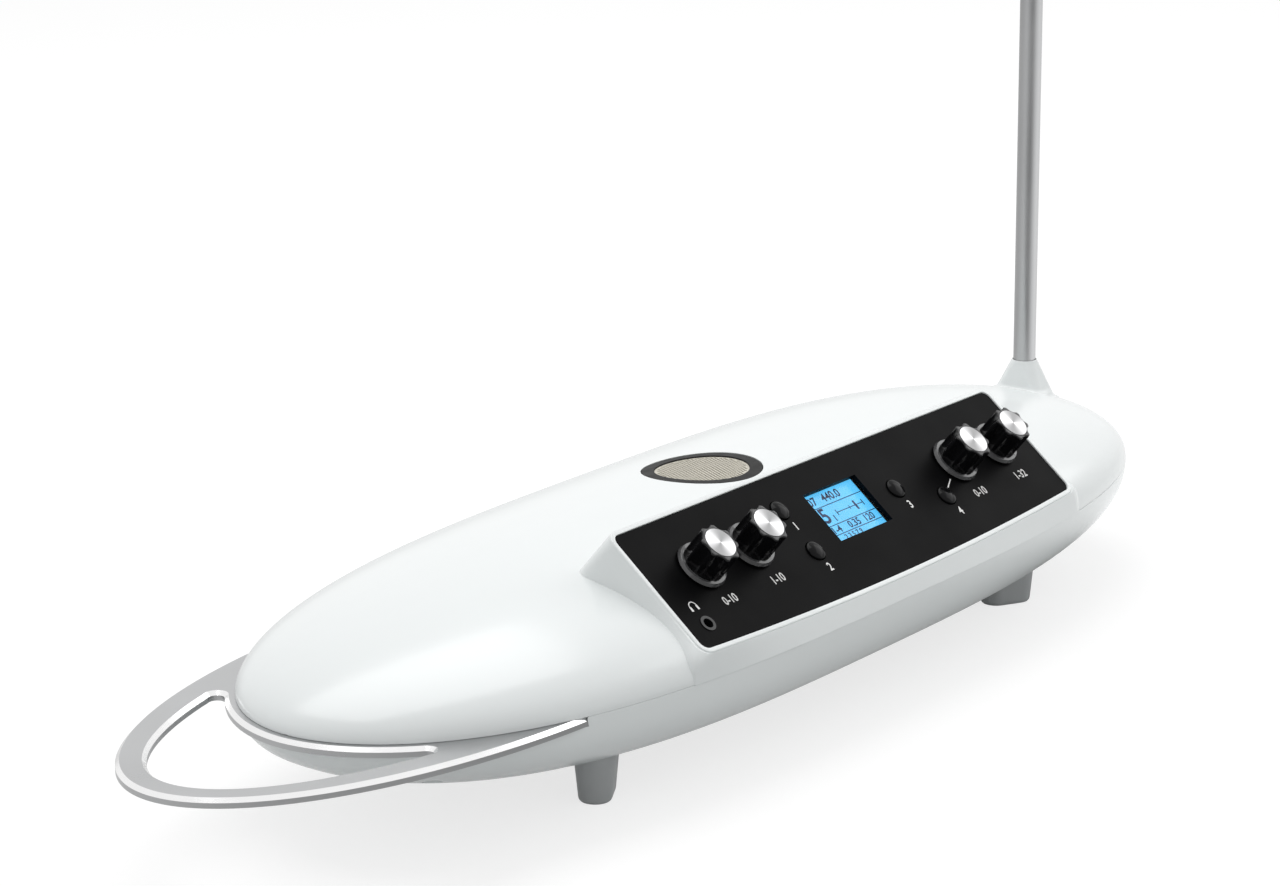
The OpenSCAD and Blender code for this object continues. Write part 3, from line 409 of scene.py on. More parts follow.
def housing():
    """The control housing, with a rounded rim round the faceplate."""
    turns = [pi / 2 * i / 5 for i in range(6)]
    rings = [panel_ring(rim_w - rim_round * (1 - sin(a)), rim_h - rim_round * (1 - cos(a)))
             for a in turns]
    rings += [housing_ring(t) for t in (0.035, 0.06, 0.1, 0.15, 0.2, 0.3, 0.4, 0.55, 0.7, 0.85, 0.985)]
    rings.append(housing_ring(1, joint_round))
    return loft("housing", rings)


def hollow_housing():
    """The space in the housing, under the ledge that carries the faceplate."""
    inner = face_w / 2 + rim_w + 1.2 - wall
    points = panel_ring(rim_w - wall, -face_t - 2)
    points += [Vector((x, -half_width(x) + wall + 1, -1)) for x in
               (inner * (i / 8 - 1) for i in range(17))]
    points += [Vector((side * inner, -wall - 1, -1)) for side in (-1, 1)]
    shape = bmesh.new()
    for point in points:
        shape.verts.new(point)
    made = bmesh.ops.convex_hull(shape, input=shape.verts)
    bmesh.ops.delete(shape, geom=made["geom_interior"], context="VERTS")
    mesh = bpy.data.meshes.new("hollow")
    shape.to_mesh(mesh)
    shape.free()
    return face_outwards(link_piece("hollow", mesh))


rod_low, rod_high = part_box("pitch_antenna")
rod_x = (case_frame.inverted() @ ((rod_low + rod_high) / 2)).x
rod_r = 500 * (rod_high.x - rod_low.x)
boss_top = crown_over(rod_x, 0) + 12.3
socket_r = 6.2
socket_top = crown_over(rod_x + socket_r, 0) - wall


def boss():
    """The rod's boss: a round top that grows into a rounded oblong, with a fillet at the crown."""
    foot_half, foot_corner, top_r, fillet, edge = (6.4, 13.2), 2.0, rod_r + 0.7, 1.5, 0.4
    foot_z = crown_over(rod_x, 0) - 6.0
    rings, levels, sides = [], 44, 48
    for k in range(levels + 5):
        share = min(1.0, k / levels)
        z = foot_z + (boss_top - edge - foot_z) * share
        pull = 0.0
        if k > levels:
            a = pi / 2 * (k - levels) / 4
            z, pull = boss_top - edge * (1 - sin(a)), edge * (1 - cos(a))
        ring = []
        for i in range(sides):
            a = tau * (i + 0.5) / sides
            c, s = cos(a), sin(a)
            x, y = ((1 - share) * (copysign(half - foot_corner, way) + foot_corner * way)
                    + share * top_r * way for half, way in zip(foot_half, (c, s)))
            rise = z - crown_over(rod_x + x, y)
            dip = min(fillet, max(0.0, fillet - rise))
            spread = fillet - sqrt(max(0.0, fillet ** 2 - dip ** 2)) - pull
            ring.append((rod_x + x + spread * c, y + spread * s, z))
        rings.append(ring)
    return loft("boss", rings)


grille_y = 9.0
grille_r, mesh_r = 21.2, 16.5
speaker_top = crown_h - 5.5


def crown_disc(name, r, top, bottom, hole=0.0, edge=0.0, sides=96):
    """A round slice that follows the crown between two depths, as a cutter, ring or mesh."""
    steps = 10
    radii = [hole + (r - hole) * k / steps for k in range(steps + 1)]
    radii[0] = max(radii[0], 0.01)
    path = [(radius, bottom) for radius in radii]
    if edge:
        turn = [pi / 6 * k for k in range(4)]
        path += [(r - edge * (1 - cos(a)), top + edge * (1 - sin(a))) for a in turn]
        path += [(radius, top) for radius in reversed(radii[1:-1])]
        path += [(hole + edge * (1 - cos(a)), top + edge * (1 - sin(a))) for a in reversed(turn)]
    else:
        path += [(radius, top) for radius in reversed(radii)]
    rings = [[(x, y, crown_over(x, y) - z) for x, y, z in circle(radius, depth, sides, 0, grille_y)]
             for radius, depth in path]
    return loft(name, rings, hole > 0)


end_x, side_x = half_l - 30.5, half_l - 75
post_r, rod_post_r, screw_hole_r, screw_hole_deep = 4.2, 8.6, 1.55, 8
fit_gap, rod_gap, recess_deep, recess_wall = 0.1, 0.3, 1.4, 1.6
case_posts = [(sx * x, sy * (half_width(x) - inset)) for sx in (-1, 1) for sy in (-1, 1)
              for x, inset in ((end_x, 16.2), (side_x, 18.7))]


def smooth(piece, crease=30):
    """Smooth shading, broken at edges sharper than the crease angle."""
    piece.data.shade_smooth()
    piece.data.set_sharp_from_angle(angle=radians(crease))
    return piece


def flat_shaded(piece, crease=30):
    """Smooth shading that leaves the large faces flat and bends the light on their bevels."""
    return applied(modified(smooth(piece, crease), "WEIGHTED_NORMAL", keep_sharp=True, weight=100))


def stand_for(piece, place, finish, slot, *nodes):
    """Puts a piece where the CAD pieces are that it stands for, and lets it move with them."""
    piece.data.transform(place)
    piece.data.materials.clear()
    piece.data.materials.append(finish)
    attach(piece, frame["nodes"][nodes[0]]["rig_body"])
    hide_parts(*nodes)
    return piece


def new_finish(name):
    """A new finish with its tree and its shader, as they come."""
    material = bpy.data.materials.new(name)
    material.use_nodes = True
    return material, material.node_tree, material.node_tree.nodes["Principled BSDF"]


def make_finish(name, color, rough, metallic=0.0, mottle=0.03, mottle_size=0.03, spread=0.05,
                grain=0.0, grain_size=0.0006, **sockets):
    """A finish whose colour and gloss drift a little over the surface, with a grain in its bump.
    Other sockets of the shader are given by name, with _ for a space."""
    material, tree, shader = new_finish(name)
    feed(shader, [("Metallic", metallic)])
    feed(shader, [(key.replace("_", " "), value) for key, value in sockets.items()])
    place = add_node(tree, "ShaderNodeTexCoord").outputs["Object"]
    drift = add_node(tree, "ShaderNodeTexNoise",
                     [("Vector", place), ("Scale", 1 / mottle_size), ("Detail", 4.0)])
    shade = add_node(tree, "ShaderNodeMapRange",
                     [(0, drift), (1, 0.3), (2, 0.7), (3, 1 - mottle), (4, 1 + mottle)])
    tint = add_node(tree, "ShaderNodeVectorMath",
                    [(0, color), ("Scale", shade)], operation="SCALE")
    gloss = add_node(tree, "ShaderNodeMapRange",
                     [(0, drift), (1, 0.3), (2, 0.7), (3, rough - spread), (4, rough + spread)])
    feed(shader, [("Base Color", tint), ("Roughness", gloss)])
    if grain:
        speck = add_node(tree, "ShaderNodeTexNoise",
                         [("Vector", place), ("Scale", 1 / grain_size), ("Detail", 2.0)])
        bump = add_node(tree, "ShaderNodeBump",
                        [("Height", speck), ("Strength", 1.0), ("Distance", grain)])
        feed(shader, [("Normal", bump)])
    return material


white_abs = make_finish("white_abs", (0.80, 0.83, 0.83), 0.24, mottle=0.006, mottle_size=0.12,
                        spread=0.03, grain=4e-6, grain_size=0.0015, Coat_Weight=0.25,
                        Coat_Roughness=0.12)

shell = hull("upper_shell_skin", crown_h, crown_powers)
combine(shell, housing(), boss(), kind="UNION")
void = combine(hull("void", crown_h, crown_powers, wall, coarse, 33, edge=0.0, drop=1.0),
               hollow_housing(), kind="UNION")
combine(void, *drums(case_posts, 0, crown_h, post_r), drum(rod_x, 0, 0.1, crown_h, rod_post_r),
        drum(0, grille_y, speaker_top, crown_h, grille_r + recess_wall))
pocket = loft("pocket", [panel_ring(grow, w) for grow, w in (
    (0.1, -face_t), (0.1, rim_h - 0.25), (0.17, rim_h - 0.07), (0.35, rim_h), (0.35, rim_h + 2))])
ledge = loft("ledge", [panel_ring(-4, -face_t - 3.5), panel_ring(-4, -face_t + 0.5)])
combine(shell, void)
combine(shell, pocket, ledge, *drums(case_posts, -1, screw_hole_deep, screw_hole_r),
        drum(rod_x, 0, socket_top - 1, boss_top + 5, rod_r + rod_gap),
        drum(rod_x, 0, -1, socket_top, socket_r + fit_gap),
        drum(0, grille_y, speaker_top - 1, crown_h, mesh_r - 1),
        crown_disc("recess", grille_r + fit_gap, -2, recess_deep))
stand_for(smooth(face_outwards(shell)), case_frame, white_abs, "case_white", "upper_shell")

# ==== Lower shell ====
# The white belly of the case, moulded in the same ABS. Four oval feet and eight sunk screws sit
# in it, the loop's plate is let into its left end, and a bay for the sockets is cut in its back.
keel_h = 35.0
keel_powers = {"Profile x": 2.76, "Profile z": 2.25, "Section": 2.35}
loop_t = 3.0
bay_half, bay_back, bay_low, bay_top = 68.0, half_w - 12, -20.0, -wall
stand_r, stand_depth = 11.0, 13.0
head_hole_r = 3.2
lower_post_r, loop_post_r, board_post_r, board_post_top, board_hole_r = 5.2, 3.6, 3.4, -18.4, 1.25


def keel_under(x, y):
    """Height of the lower shell's skin under a point, below the joint."""
    across = 1 - min(1.0, abs(y) / max(half_width(x), 1e-6)) ** keel_powers["Section"]
    depth = keel_h * falloff(x, half_l, keel_powers["Profile x"], keel_powers["Profile z"])
    return -depth * max(0.0, across) ** (1 / keel_powers["Section"])


loop_low, loop_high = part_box("volume_antenna")
loop_reach = -(case_frame.inverted() @ loop_low).x
loop_half = 500 * (loop_high.y - loop_low.y)
loop_middle = -half_l + 85
loop_end = loop_middle - 17


def flat_outline(points, low, high, name="slab"):
    """An upright slab over an outline."""
    return loft(name, [[(x, y, low) for x, y in points], [(x, y, high) for x, y in points]])


def ellipse(cx, rx, ry, steps=220):
    return [(cx + rx * cos(tau * i / steps), ry * sin(tau * i / steps))
            for i in range(steps)]


def loop_blank(grow, low, high):
    """The loop's plate before its slot is cut: the left part of an elliptical disc."""
    blank = flat_outline(ellipse(loop_middle, loop_reach + loop_middle + grow, loop_half + grow), low, high)
    return combine(blank, block((loop_end + grow, -100, low - 1), (loop_reach, 100, high + 1)))


foot_spots = {}
for label in ("front_left", "front_right", "rear_left", "rear_right"):
    low, high = (case_frame.inverted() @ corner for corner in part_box("foot_" + label))
    foot_spots[label] = ((low.x + high.x) / 2, (low.y + high.y) / 2)
board_posts = [(sx * (bay_half - 9), y) for sx in (-1, 1) for y in (bay_back - 91, bay_back - 30)]
loop_post_x = -half_l + 55
loop_posts = [(loop_post_x, sy * (half_width(loop_post_x) - 11)) for sy in (-1, 1)]


def post_top(x, y):
    """Top of a screw post: the joint, or the loop's plate where that lies between the shells."""
    return -loop_t - fit_gap if x < loop_end else 0.0


def screw_floor(x, y):
    """Where the head of a case screw sits."""
    return max(keel_under(x, y) + wall, post_top(x, y) - 8)


belly = hull("lower_shell_skin", -keel_h, keel_powers)
void = hull("void", -keel_h, keel_powers, wall, coarse, 33, edge=0.0, drop=-1.0)
combine(void, *drums(case_posts, -keel_h, post_top, lower_post_r),
        *drums(loop_posts, -keel_h, -loop_t - fit_gap, loop_post_r),
        *drums(board_posts, -keel_h, board_post_top, board_post_r),
        *drums(foot_spots.values(), -keel_h, lambda x, y: keel_under(x, y) + 8, post_r),
        drum(0, 0, -keel_h, -keel_h + stand_depth + 2, stand_r + 2),
        block((-bay_half - 2, bay_back - 2, bay_low - 2), (bay_half + 2, half_w, 2)))
combine(belly, void)
combine(belly, block((-bay_half, bay_back, bay_low), (bay_half, half_w + 5, bay_top)),
        block((-bay_half + 4, bay_back - 4, bay_low + 2), (bay_half - 4, bay_back + 1, bay_top - 2)),
        loop_blank(fit_gap, -loop_t - fit_gap, 2),
        drum(0, 0, -keel_h - 2, -keel_h + stand_depth, stand_r + 0.05, 64),
        *drums(case_posts, -keel_h - 2, screw_floor, head_hole_r),
        *drums(case_posts, -keel_h - 2, 1, screw_hole_r, 24),
        *drums(board_posts, -25, 1, board_hole_r, 24), *drums(loop_posts, -loop_t - 8, 1, screw_hole_r, 24),
        *drums(foot_spots.values(), lambda x, y: keel_under(x, y) - 2, lambda x, y: keel_under(x, y) + 6,
               screw_hole_r, 24))
stand_for(smooth(face_outwards(belly)), case_frame, white_abs, "case_white", "lower_shell")

# ==== Volume antenna ====
# A flat plate of satin-finished metal, 3 mm thick, clamped between the shells at the left end.
# Its slot is punched, and all its upper edges are bevelled and polished.
bevel_w = 1.3
slot_shape = (loop_reach + loop_middle - 9.4, loop_half - 11.5)
strip_w, horn_r = 3.2, 2.6
flange_inset, loop_hole_r = 18, 1.8


def offset_outline(points, grow):
    """Moves the points of a closed anticlockwise outline outwards."""
    n, moved = len(points), []
    for i, (x, y) in enumerate(points):
        (ax, ay), (bx, by) = points[i - 1], points[(i + 1) % n]
        length = hypot(bx - ax, by - ay)
        moved.append((x + grow * (by - ay) / length, y - grow * (bx - ax) / length))
    return moved


def slot_outline():
    """The slot between the ring and the strip that follows the case, with rounded horns."""
    turns = [pi * i / 700 for i in range(1, 700)]
    ring = [(loop_middle + slot_shape[0] * cos(a), slot_shape[1] * sin(a)) for a in turns]
    reach = [-(half_l + strip_w) * cos(a) for a in turns]
    side = [(x, half_width(x, strip_w)) for x in reach]
    inner = offset_outline(ring, -horn_r)
    outer = offset_outline(side[::-1], horn_r)[::-1]
    i, j = min((dist(inner[i], outer[j]), i, j) for i in range(300, 690) for j in range(10, 250))[1:]
    horn = [(inner[i][k] + outer[j][k]) / 2 for k in (0, 1)]
    start = atan2(ring[i][1] - horn[1], ring[i][0] - horn[0])
    stop = atan2(side[j][1] - horn[1], side[j][0] - horn[0])
    sweep = (stop - start + pi) % tau - pi
    upper = ring[-1:i:-6] + arc(*horn, horn_r, start, start + sweep, 12) + side[j - 1:0:-6]
    tips = [(loop_middle - slot_shape[0], 0.0)], [(-half_l - strip_w, 0.0)]
    outline = tips[0] + upper + tips[1] + [(x, -y) for x, y in reversed(upper)]
    area = sum(p[0] * q[1] - q[0] * p[1] for p, q in zip(outline, outline[1:] + outline[:1]))
    return outline if area > 0 else outline[::-1]


def bevelled(piece, width, steps=2, crease=35):
    """Rounds a piece's sharp edges."""
    return applied(modified(piece, "BEVEL", limit_method="ANGLE", angle_limit=radians(crease),
                            width=width, segments=steps))


def flattened(piece, angle=0.05, merge=0):
    """Joins the facets of each flat face, after welding doubles."""
    with editing(piece) as shape:
        if merge:
            bmesh.ops.remove_doubles(shape, verts=shape.verts, dist=merge)
        bmesh.ops.dissolve_limit(shape, angle_limit=radians(angle), verts=shape.verts, edges=shape.edges)
    return piece


def rings_of(outline, *steps):
    """Rings over an outline, each from how far it is grown and its height."""
    return [[(x, y, z) for x, y in (offset_outline(outline, grow) if grow else outline)]
            for grow, z in steps]


loop_edge = ellipse(loop_middle, loop_reach + loop_middle, loop_half, 360)
loop = loft("volume_antenna_plate", rings_of(loop_edge, (0, -loop_t), (0, -bevel_w), (-bevel_w, 0)))
combine(loop, block((loop_end, -100, -loop_t - 1), (loop_reach, 100, 1)),
        loft("slot", rings_of(slot_outline(), (0, -loop_t - 1), (0, -bevel_w), (bevel_w, 0),
                              (bevel_w + 1, 1))))
flange = [(x, copysign(half_width(x, -flange_inset), y))
          for x, y in ellipse(0, half_l - flange_inset, 1, 200)]
combine(loop, flat_outline(flange, -loop_t - 1, 1),
        *drums([spot for spot in case_posts + loop_posts if spot[0] < loop_end + 8],
               -loop_t - 1, 1, loop_hole_r, 32))
loop_metal = make_finish("satin_metal", (0.45, 0.455, 0.46), 0.3, 1.0, mottle=0.03, mottle_size=0.05,
                         grain=2e-6, grain_size=0.0004)
stand_for(flat_shaded(flattened(face_outwards(loop))), case_frame, loop_metal, "antenna_metal",
          "volume_antenna")


def finish_faces(piece, finish, wanted):
    """Gives another finish to the faces for which the test holds."""
    piece.data.materials.append(finish)
    for face in piece.data.polygons:
        if wanted(face):
            face.material_index = len(piece.data.materials) - 1


polished = make_finish("polished_bevel", (0.86, 0.86, 0.86), 0.2, 1.0, mottle=0.02, mottle_size=0.03)
finish_faces(loop, polished, lambda face: 0.3 < face.normal.z < 0.95)

# ==== Screws ====
# Pan-head screws of zinc-plated steel hold the case, the loop plate, the boards and the feet.
# They are bought parts of three sizes, with a cross recess in the head.


def lathe(name, profile, sides=64):
    """A solid of revolution about Z; the profile holds radii and heights."""
    return loft(name, [circle(r, z, sides) for r, z in profile])


def copies_tree():
    """Sets a copy of one piece on each point."""
    tree, start, end = shape_tree("copies", {"Piece": "", "Turn": 1.0, "Seed": 1, "Finish": None}, True)
    source = add_node(tree, "GeometryNodeObjectInfo", [("Object", start.outputs["Piece"])])
    turn = add_node(tree, "FunctionNodeRandomValue",
                    [(2, 0.0), (3, start.outputs["Turn"]), ("Seed", start.outputs["Seed"])],
                    data_type="FLOAT")
    about = add_node(tree, "ShaderNodeCombineXYZ", [(2, turn.outputs[1])])
    spin = add_node(tree, "FunctionNodeEulerToRotation", [(0, about)])
    placed = add_node(tree, "GeometryNodeInstanceOnPoints",
                      [("Points", start.outputs["Points"]), ("Instance", source.outputs["Geometry"]),
                       ("Rotation", spin)])
    finish_tree(tree, end, placed, start.outputs["Finish"])
    return tree


copies_form = copies_tree()
steel = make_finish("zinc_steel", (0.42, 0.43, 0.45), 0.3, 1.0, mottle=0.05, mottle_size=0.002,
                    spread=0.08)


def copies(name, piece, points, finish, turn=tau, seed=1):
    made = run_tree(name, copies_form,
                    {"Piece": piece, "Turn": turn, "Seed": seed, "Finish": finish}, points)
    bpy.data.objects.remove(piece)
    return made


def screw(r, head, length, point_up=True):
    """Its seat, under the head, lies at z = 0."""
    head_h, tip, slot_w = head * 0.6, r * 0.4, 0.7
    body = lathe("screw", [(r * 0.6, length), (r, length - tip), (r, 0), (head - 0.1, 0), (head, -0.12),
                           (head * 0.93, -head_h * 0.6), (head * 0.72, -head_h)], 32)
    for wide, long in ((slot_w, head * 1.1), (head * 1.1, slot_w)):
        combine(body, bar(0, 0, wide, long, -head_h - 1, -head_h / 2))
    if not point_up:
        body.data.transform(Matrix.Rotation(pi, 4, "X"))
    return smooth(body)


case_screw, board_screw = (1.5, 2.9), (1.2, 2.2, 6.6)
case_tips = [(x, y, screw_floor(x, y)) for x, y in case_posts]
screws = [copies("screw", screw(*case_screw, 7 - z), [(x, y, z)], steel, seed=k)
          for k, (x, y, z) in enumerate(case_tips)]


def join(sources, name):
    """Makes one piece of several, or of copies of CAD pieces."""
    joined = link_piece(name, bpy.data.meshes.new(name))
    with editing(joined) as shape:
        for source in sources:
            shape.from_mesh(source.data)
    for source in sources:
        if source.name not in frame["nodes"]:
            bpy.data.objects.remove(source)
    return joined


stand_for(smooth(join(screws, "case_screw_set")), case_frame, steel, "steel", "case_screws")
loop_screws = copies("loop_screw_set", screw(*case_screw, loop_t + 7, False),
                     [(*spot, 0) for spot in loop_posts], steel)
stand_for(loop_screws, case_frame, steel, "steel", "loop_screws")

# ==== Pitch antenna ====
# A tube of satin metal, closed by a dome at its top. It pushes into a brass socket, which sits
# in a post under the boss of the upper shell.
rod_foot = (case_frame.inverted() @ rod_low).z
rod_tip = (case_frame.inverted() @ rod_high).z
rod_path = [(rod_r - 1, rod_tip - 2 * rod_r), (rod_r - 1, rod_foot + 0.3), (rod_r - 0.7, rod_foot),
            (rod_r - 0.3, rod_foot), (rod_r, rod_foot + 0.3)]
rod_path += [(max(0.02, rod_r * cos(a)), rod_tip - rod_r + rod_r * sin(a))
             for a in (pi / 2 * k / 16 for k in range(17))]
rod = lathe("pitch_rod", rod_path, 96)
rod.data.transform(Matrix.Translation((rod_x, 0, 0)))
stand_for(smooth(rod), case_frame, loop_metal, "antenna_metal", "pitch_antenna")


def copy_of(name, edge, finish, slot, *nodes, angle=1.0):
    """A merged copy of CAD pieces, with their edges rounded by a width in metres."""
    piece = flattened(join([frame["nodes"][node] for node in nodes], name), angle, 2e-6)
    if edge:
        bevelled(piece, edge)
    return stand_for(flat_shaded(piece), Matrix(), finish, slot, *nodes)


brass = make_finish("turned_brass", (0.52, 0.36, 0.13), 0.28, 1.0, mottle=0.06, mottle_size=0.004,
                    spread=0.08)
socket_low = (case_frame.inverted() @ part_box("antenna_socket")[0]).z
socket = lathe("rod_socket", [
    (0.02, socket_low), (socket_r - 0.3, socket_low), (socket_r, socket_low + 0.3),
    (socket_r, socket_top - 0.3), (socket_r - 0.3, socket_top), (rod_r + 0.4, socket_top),
    (rod_r + 0.07, socket_top - 0.4), (rod_r + 0.07, rod_foot), (0.02, rod_foot)])
socket.data.transform(Matrix.Translation((rod_x, 0, 0)))
stand_for(smooth(socket), case_frame, brass, "brass", "antenna_socket")

# ==== Faceplate ====
# A sheet of satin black ABS, 1.6 mm thick, glued on a ledge in the housing. Its holes are for
# the shafts, the buttons, the headphone socket and the display.


def spot_of(node):
    """Where the middle of a CAD piece lies on the faceplate."""
    points = [panel_frame.inverted() @ point.co for point in frame["nodes"][node].data.vertices]
    return Vector([(min(p[k] for p in points) + max(p[k] for p in points)) / 2 for k in (0, 1)])


knob_spots = {name: spot_of(name + "_knob") for name in ("volume", "pitch", "delay", "presets")}
button_spots = {name: spot_of(name + "_button") for name in ("scale", "root", "setup", "delay")}
window_spot = (-1.4, face_h - 21.3)
window_half = (15.5, 10.2)
phones_spot = (9.8 - face_w / 2, 7.6)
shaft_hole_r, key_hole_r, phones_hole_r = 3.6, 4.0, 3.0
plate = loft("front_plate", [[(u, v, w) for u, v in panel_outline(grow)]
                             for grow, w in ((0, -face_t), (0, -0.12), (-0.12, 0))])
combine(plate, *drums(knob_spots.values(), -3, 1, shaft_hole_r),
        *drums(button_spots.values(), -3, 1, key_hole_r, 64), drum(*phones_spot, -3, 1, phones_hole_r),
        bar(*window_spot, 2 * window_half[0], 2 * window_half[1], -3, 1))
satin_black = make_finish("satin_black", (0.0026, 0.0026, 0.0028), 0.42, mottle=0.05, mottle_size=0.02,
                          grain=2e-6, grain_size=0.0004, Specular_IOR_Level=0.035)
stand_for(flat_shaded(bevelled(flattened(face_outwards(plate)), 0.12, 2, 40)), panel_frame, satin_black,
          "faceplate", "faceplate")

# ==== Display ====
# A back-lit liquid crystal module on four legs behind a clear acrylic window. It shows plain
# numbers, a scale with a cursor, and three ruled lines.
lens, _, shader = new_finish("clear_acrylic")
feed(shader, [("Base Color", (0.02, 0.03, 0.035, 1)), ("Roughness", 0.05), ("Alpha", 0.14)])
copy_of("window_pane", 0.0002, lens, "display_window", "display_window")

window_t, module_rim, module_low, leg_low, leg_r = 1.2, 5, -4.4, -9.6, 1.5
window_frame = panel_frame @ Matrix.Translation((*window_spot, -face_t - window_t))
module = bar(0, 0, 2 * window_half[0] + module_rim, 2 * window_half[1] + module_rim, module_low, -0.1)
legs = [drum(sx * (window_half[0] + 1), sy * (window_half[1] + 1), leg_low, -4, leg_r, 32)
        for sx in (-1, 1) for sy in (-1, 1)]
combine(module, *legs, kind="UNION")
module.name = "display_body"
grey_frame = make_finish("display_frame", (0.12, 0.115, 0.105), 0.4, mottle=0.04)
stand_for(flat_shaded(bevelled(flattened(module), 0.15)), window_frame, grey_frame, "display",
          "display_module")


def glow(name, color, strength):
    """A back-lit finish with a faint unevenness."""
    material, tree, shader = new_finish(name)
    place = add_node(tree, "ShaderNodeTexCoord").outputs["Object"]
    drift = add_node(tree, "ShaderNodeTexNoise", [("Vector", place), ("Scale", 60.0)])
    level = add_node(tree, "ShaderNodeMapRange",
                     [(0, drift), (1, 0.3), (2, 0.7), (3, 0.93), (4, 1.07)])
    tint = add_node(tree, "ShaderNodeVectorMath", [(0, color), ("Scale", level)],
                    operation="SCALE")
    feed(shader, [("Emission Color", tint), ("Emission Strength", strength), ("Roughness", 0.25),
                  ("Base Color", (*[c * 0.4 for c in color], 1))])
    return material


backlight = glow("blue_backlight", (0.088, 0.475, 0.83), 1.38)
liquid_ink = make_finish("liquid_crystal", (0.004, 0.03, 0.14), 0.35, mottle=0.05, Specular_IOR_Level=0.2)


def flat_text(text, size, x, y, low, high, stretch=1.0):
    """Plain numerals as a thin slab, in millimetres."""
    letters = bpy.data.curves.new("numerals", "FONT")
    letters.body, letters.size = text, size
    letters.align_x, letters.align_y = "CENTER", "CENTER"
    letters.extrude = (high - low) / 2
    letters.offset = 0.02 * size
    letters.resolution_u = 3
    piece = bpy.data.objects.new("numerals", letters)
    bpy.context.scene.collection.objects.link(piece)
    mesh = evaluated(piece)
    bpy.data.objects.remove(piece)
    mesh.transform(Matrix.Translation((x, y, (low + high) / 2)) @ Matrix.Diagonal((stretch, 1, 1, 1)))
    return link_piece("numerals", mesh)


ink_low, ink_high = -0.04, -0.01
screen = bar(0, 0, 2 * window_half[0] + 0.6, 2 * window_half[1] + 0.6, -0.1, ink_low)
screen.name = "display_screen"
stand_for(screen, window_frame, backlight, "display", "display_module")
shown = [flat_text(text, size, x, y, ink_low, ink_high) for text, size, x, y in (
    ("07", 4.6, -10.2, 7.6), ("440.0", 4.6, 0.6, 7.6), ("5", 8.6, -9.6, 1.1), ("1", 3.6, -5.6, -0.8),
    ("1-4", 4.0, -9.4, -4.9), ("0.35  120", 4.0, 5.2, -4.9), ("2 3 5 7 9", 2.8, -3.2, -8.5))]
shown += [bar(x, y, length, width, ink_low, ink_high) for x, y, length, width in (
    (0, 4.9, 31.2, 0.3), (0, -2.9, 31.2, 0.3), (0, -6.8, 31.2, 0.3), (4.8, 1.0, 15.5, 0.3),
    (-2.8, 1.0, 0.45, 2.4), (12.6, 1.0, 0.45, 2.4), (4.8, 1.0, 0.35, 1.6), (8.4, 1.0, 1.0, 3.8))]
stand_for(join(shown, "display_numerals"), window_frame, liquid_ink, "display", "display_module")

# ==== Control board ====
# A green circuit board on four hexagonal stand-offs behind the faceplate. It carries the
# potentiometers, the endless encoder, the switches and the headphone socket.
board_green = make_finish("solder_mask", (0.018, 0.085, 0.035), 0.32, mottle=0.12, mottle_size=0.004,
                          grain=1e-5, grain_size=0.0012)
copy_of("front_board", 0.00015, board_green, "circuit_board", "control_board")
copy_of("hex_standoffs", 0.00012, steel, "steel", "board_standoffs")
main_board_top = -16.8
board_screw_spots = [(su * 72, v, -14) for su in (-1, 1) for v in (7.5, face_h - 7.6)]
front_screws = copies("front_board_screws", screw(*board_screw), board_screw_spots, steel, seed=5)
front_screws.data.transform(panel_in_case)
main_screws = copies("main_board_screws", screw(*board_screw, False),
                     [(*spot, main_board_top) for spot in board_posts], steel, seed=6)
stand_for(join([front_screws, main_screws], "board_screw_set"), case_frame, steel, "steel", "board_screws")
pot_case = make_finish("pressed_steel", (0.50, 0.50, 0.49), 0.34, 1.0, mottle=0.08, mottle_size=0.003)
for name in ("volume", "pitch", "delay"):
    copy_of(name + "_potentiometer", 0.0003, pot_case, "pots", name + "_pot")
copy_of("presets_turn_encoder", 0.0003, pot_case, "pots", "presets_encoder")
switch_black = make_finish("switch_black", (0.02, 0.02, 0.022), 0.4, mottle=0.05, mottle_size=0.002)
copy_of("tact_switches", 0.00015, switch_black, "switches", "button_switches")
gloss_black = make_finish("gloss_black", (0.006, 0.006, 0.007), 0.16, mottle=0.1, mottle_size=0.006,
                          spread=0.04, Specular_IOR_Level=0.35)
copy_of("headphone_socket", 0.0002, gloss_black, "jacks", "headphone_jack")

# ==== Knobs ====
# Four fluted knobs of gloss black ABS on 6 mm shafts, each with a thin skirt and a spun
# aluminium disc let into its top.
knob_r, body_r, shaft_r, knob_top, skirt_low, skirt_top = 9.0, 7.38, 3.05, 12.6, 0.8, 2.2
flute_r, flute_deep, flutes = 3.6, 1.1, 8
cap_r, cap_t = 5.65, 0.8
knob_sides = 24 * flutes


def fluted(turn, r):
    """Radius of a fluted outline of the outer radius r, its cusps slightly rounded."""
    part = tau / flutes
    off = (turn + part / 2) % part - part / 2
    middle = body_r + flute_r - flute_deep
    reach = flute_r ** 2 - (middle * sin(off)) ** 2
    if reach <= 0:
        return r
    cut = middle * cos(off) - sqrt(reach) - (body_r - r)
    blend = 0.35
    mix = max(0.0, min(1.0, 0.5 + (r - cut) / (2 * blend)))
    return r * (1 - mix) + cut * mix - blend * mix * (1 - mix)


def fluted_ring(r, w):
    """One ring of a knob's fluted body."""
    return [(fluted(a, r) * cos(a), fluted(a, r) * sin(a), w)
            for a in (tau * i / knob_sides for i in range(knob_sides))]


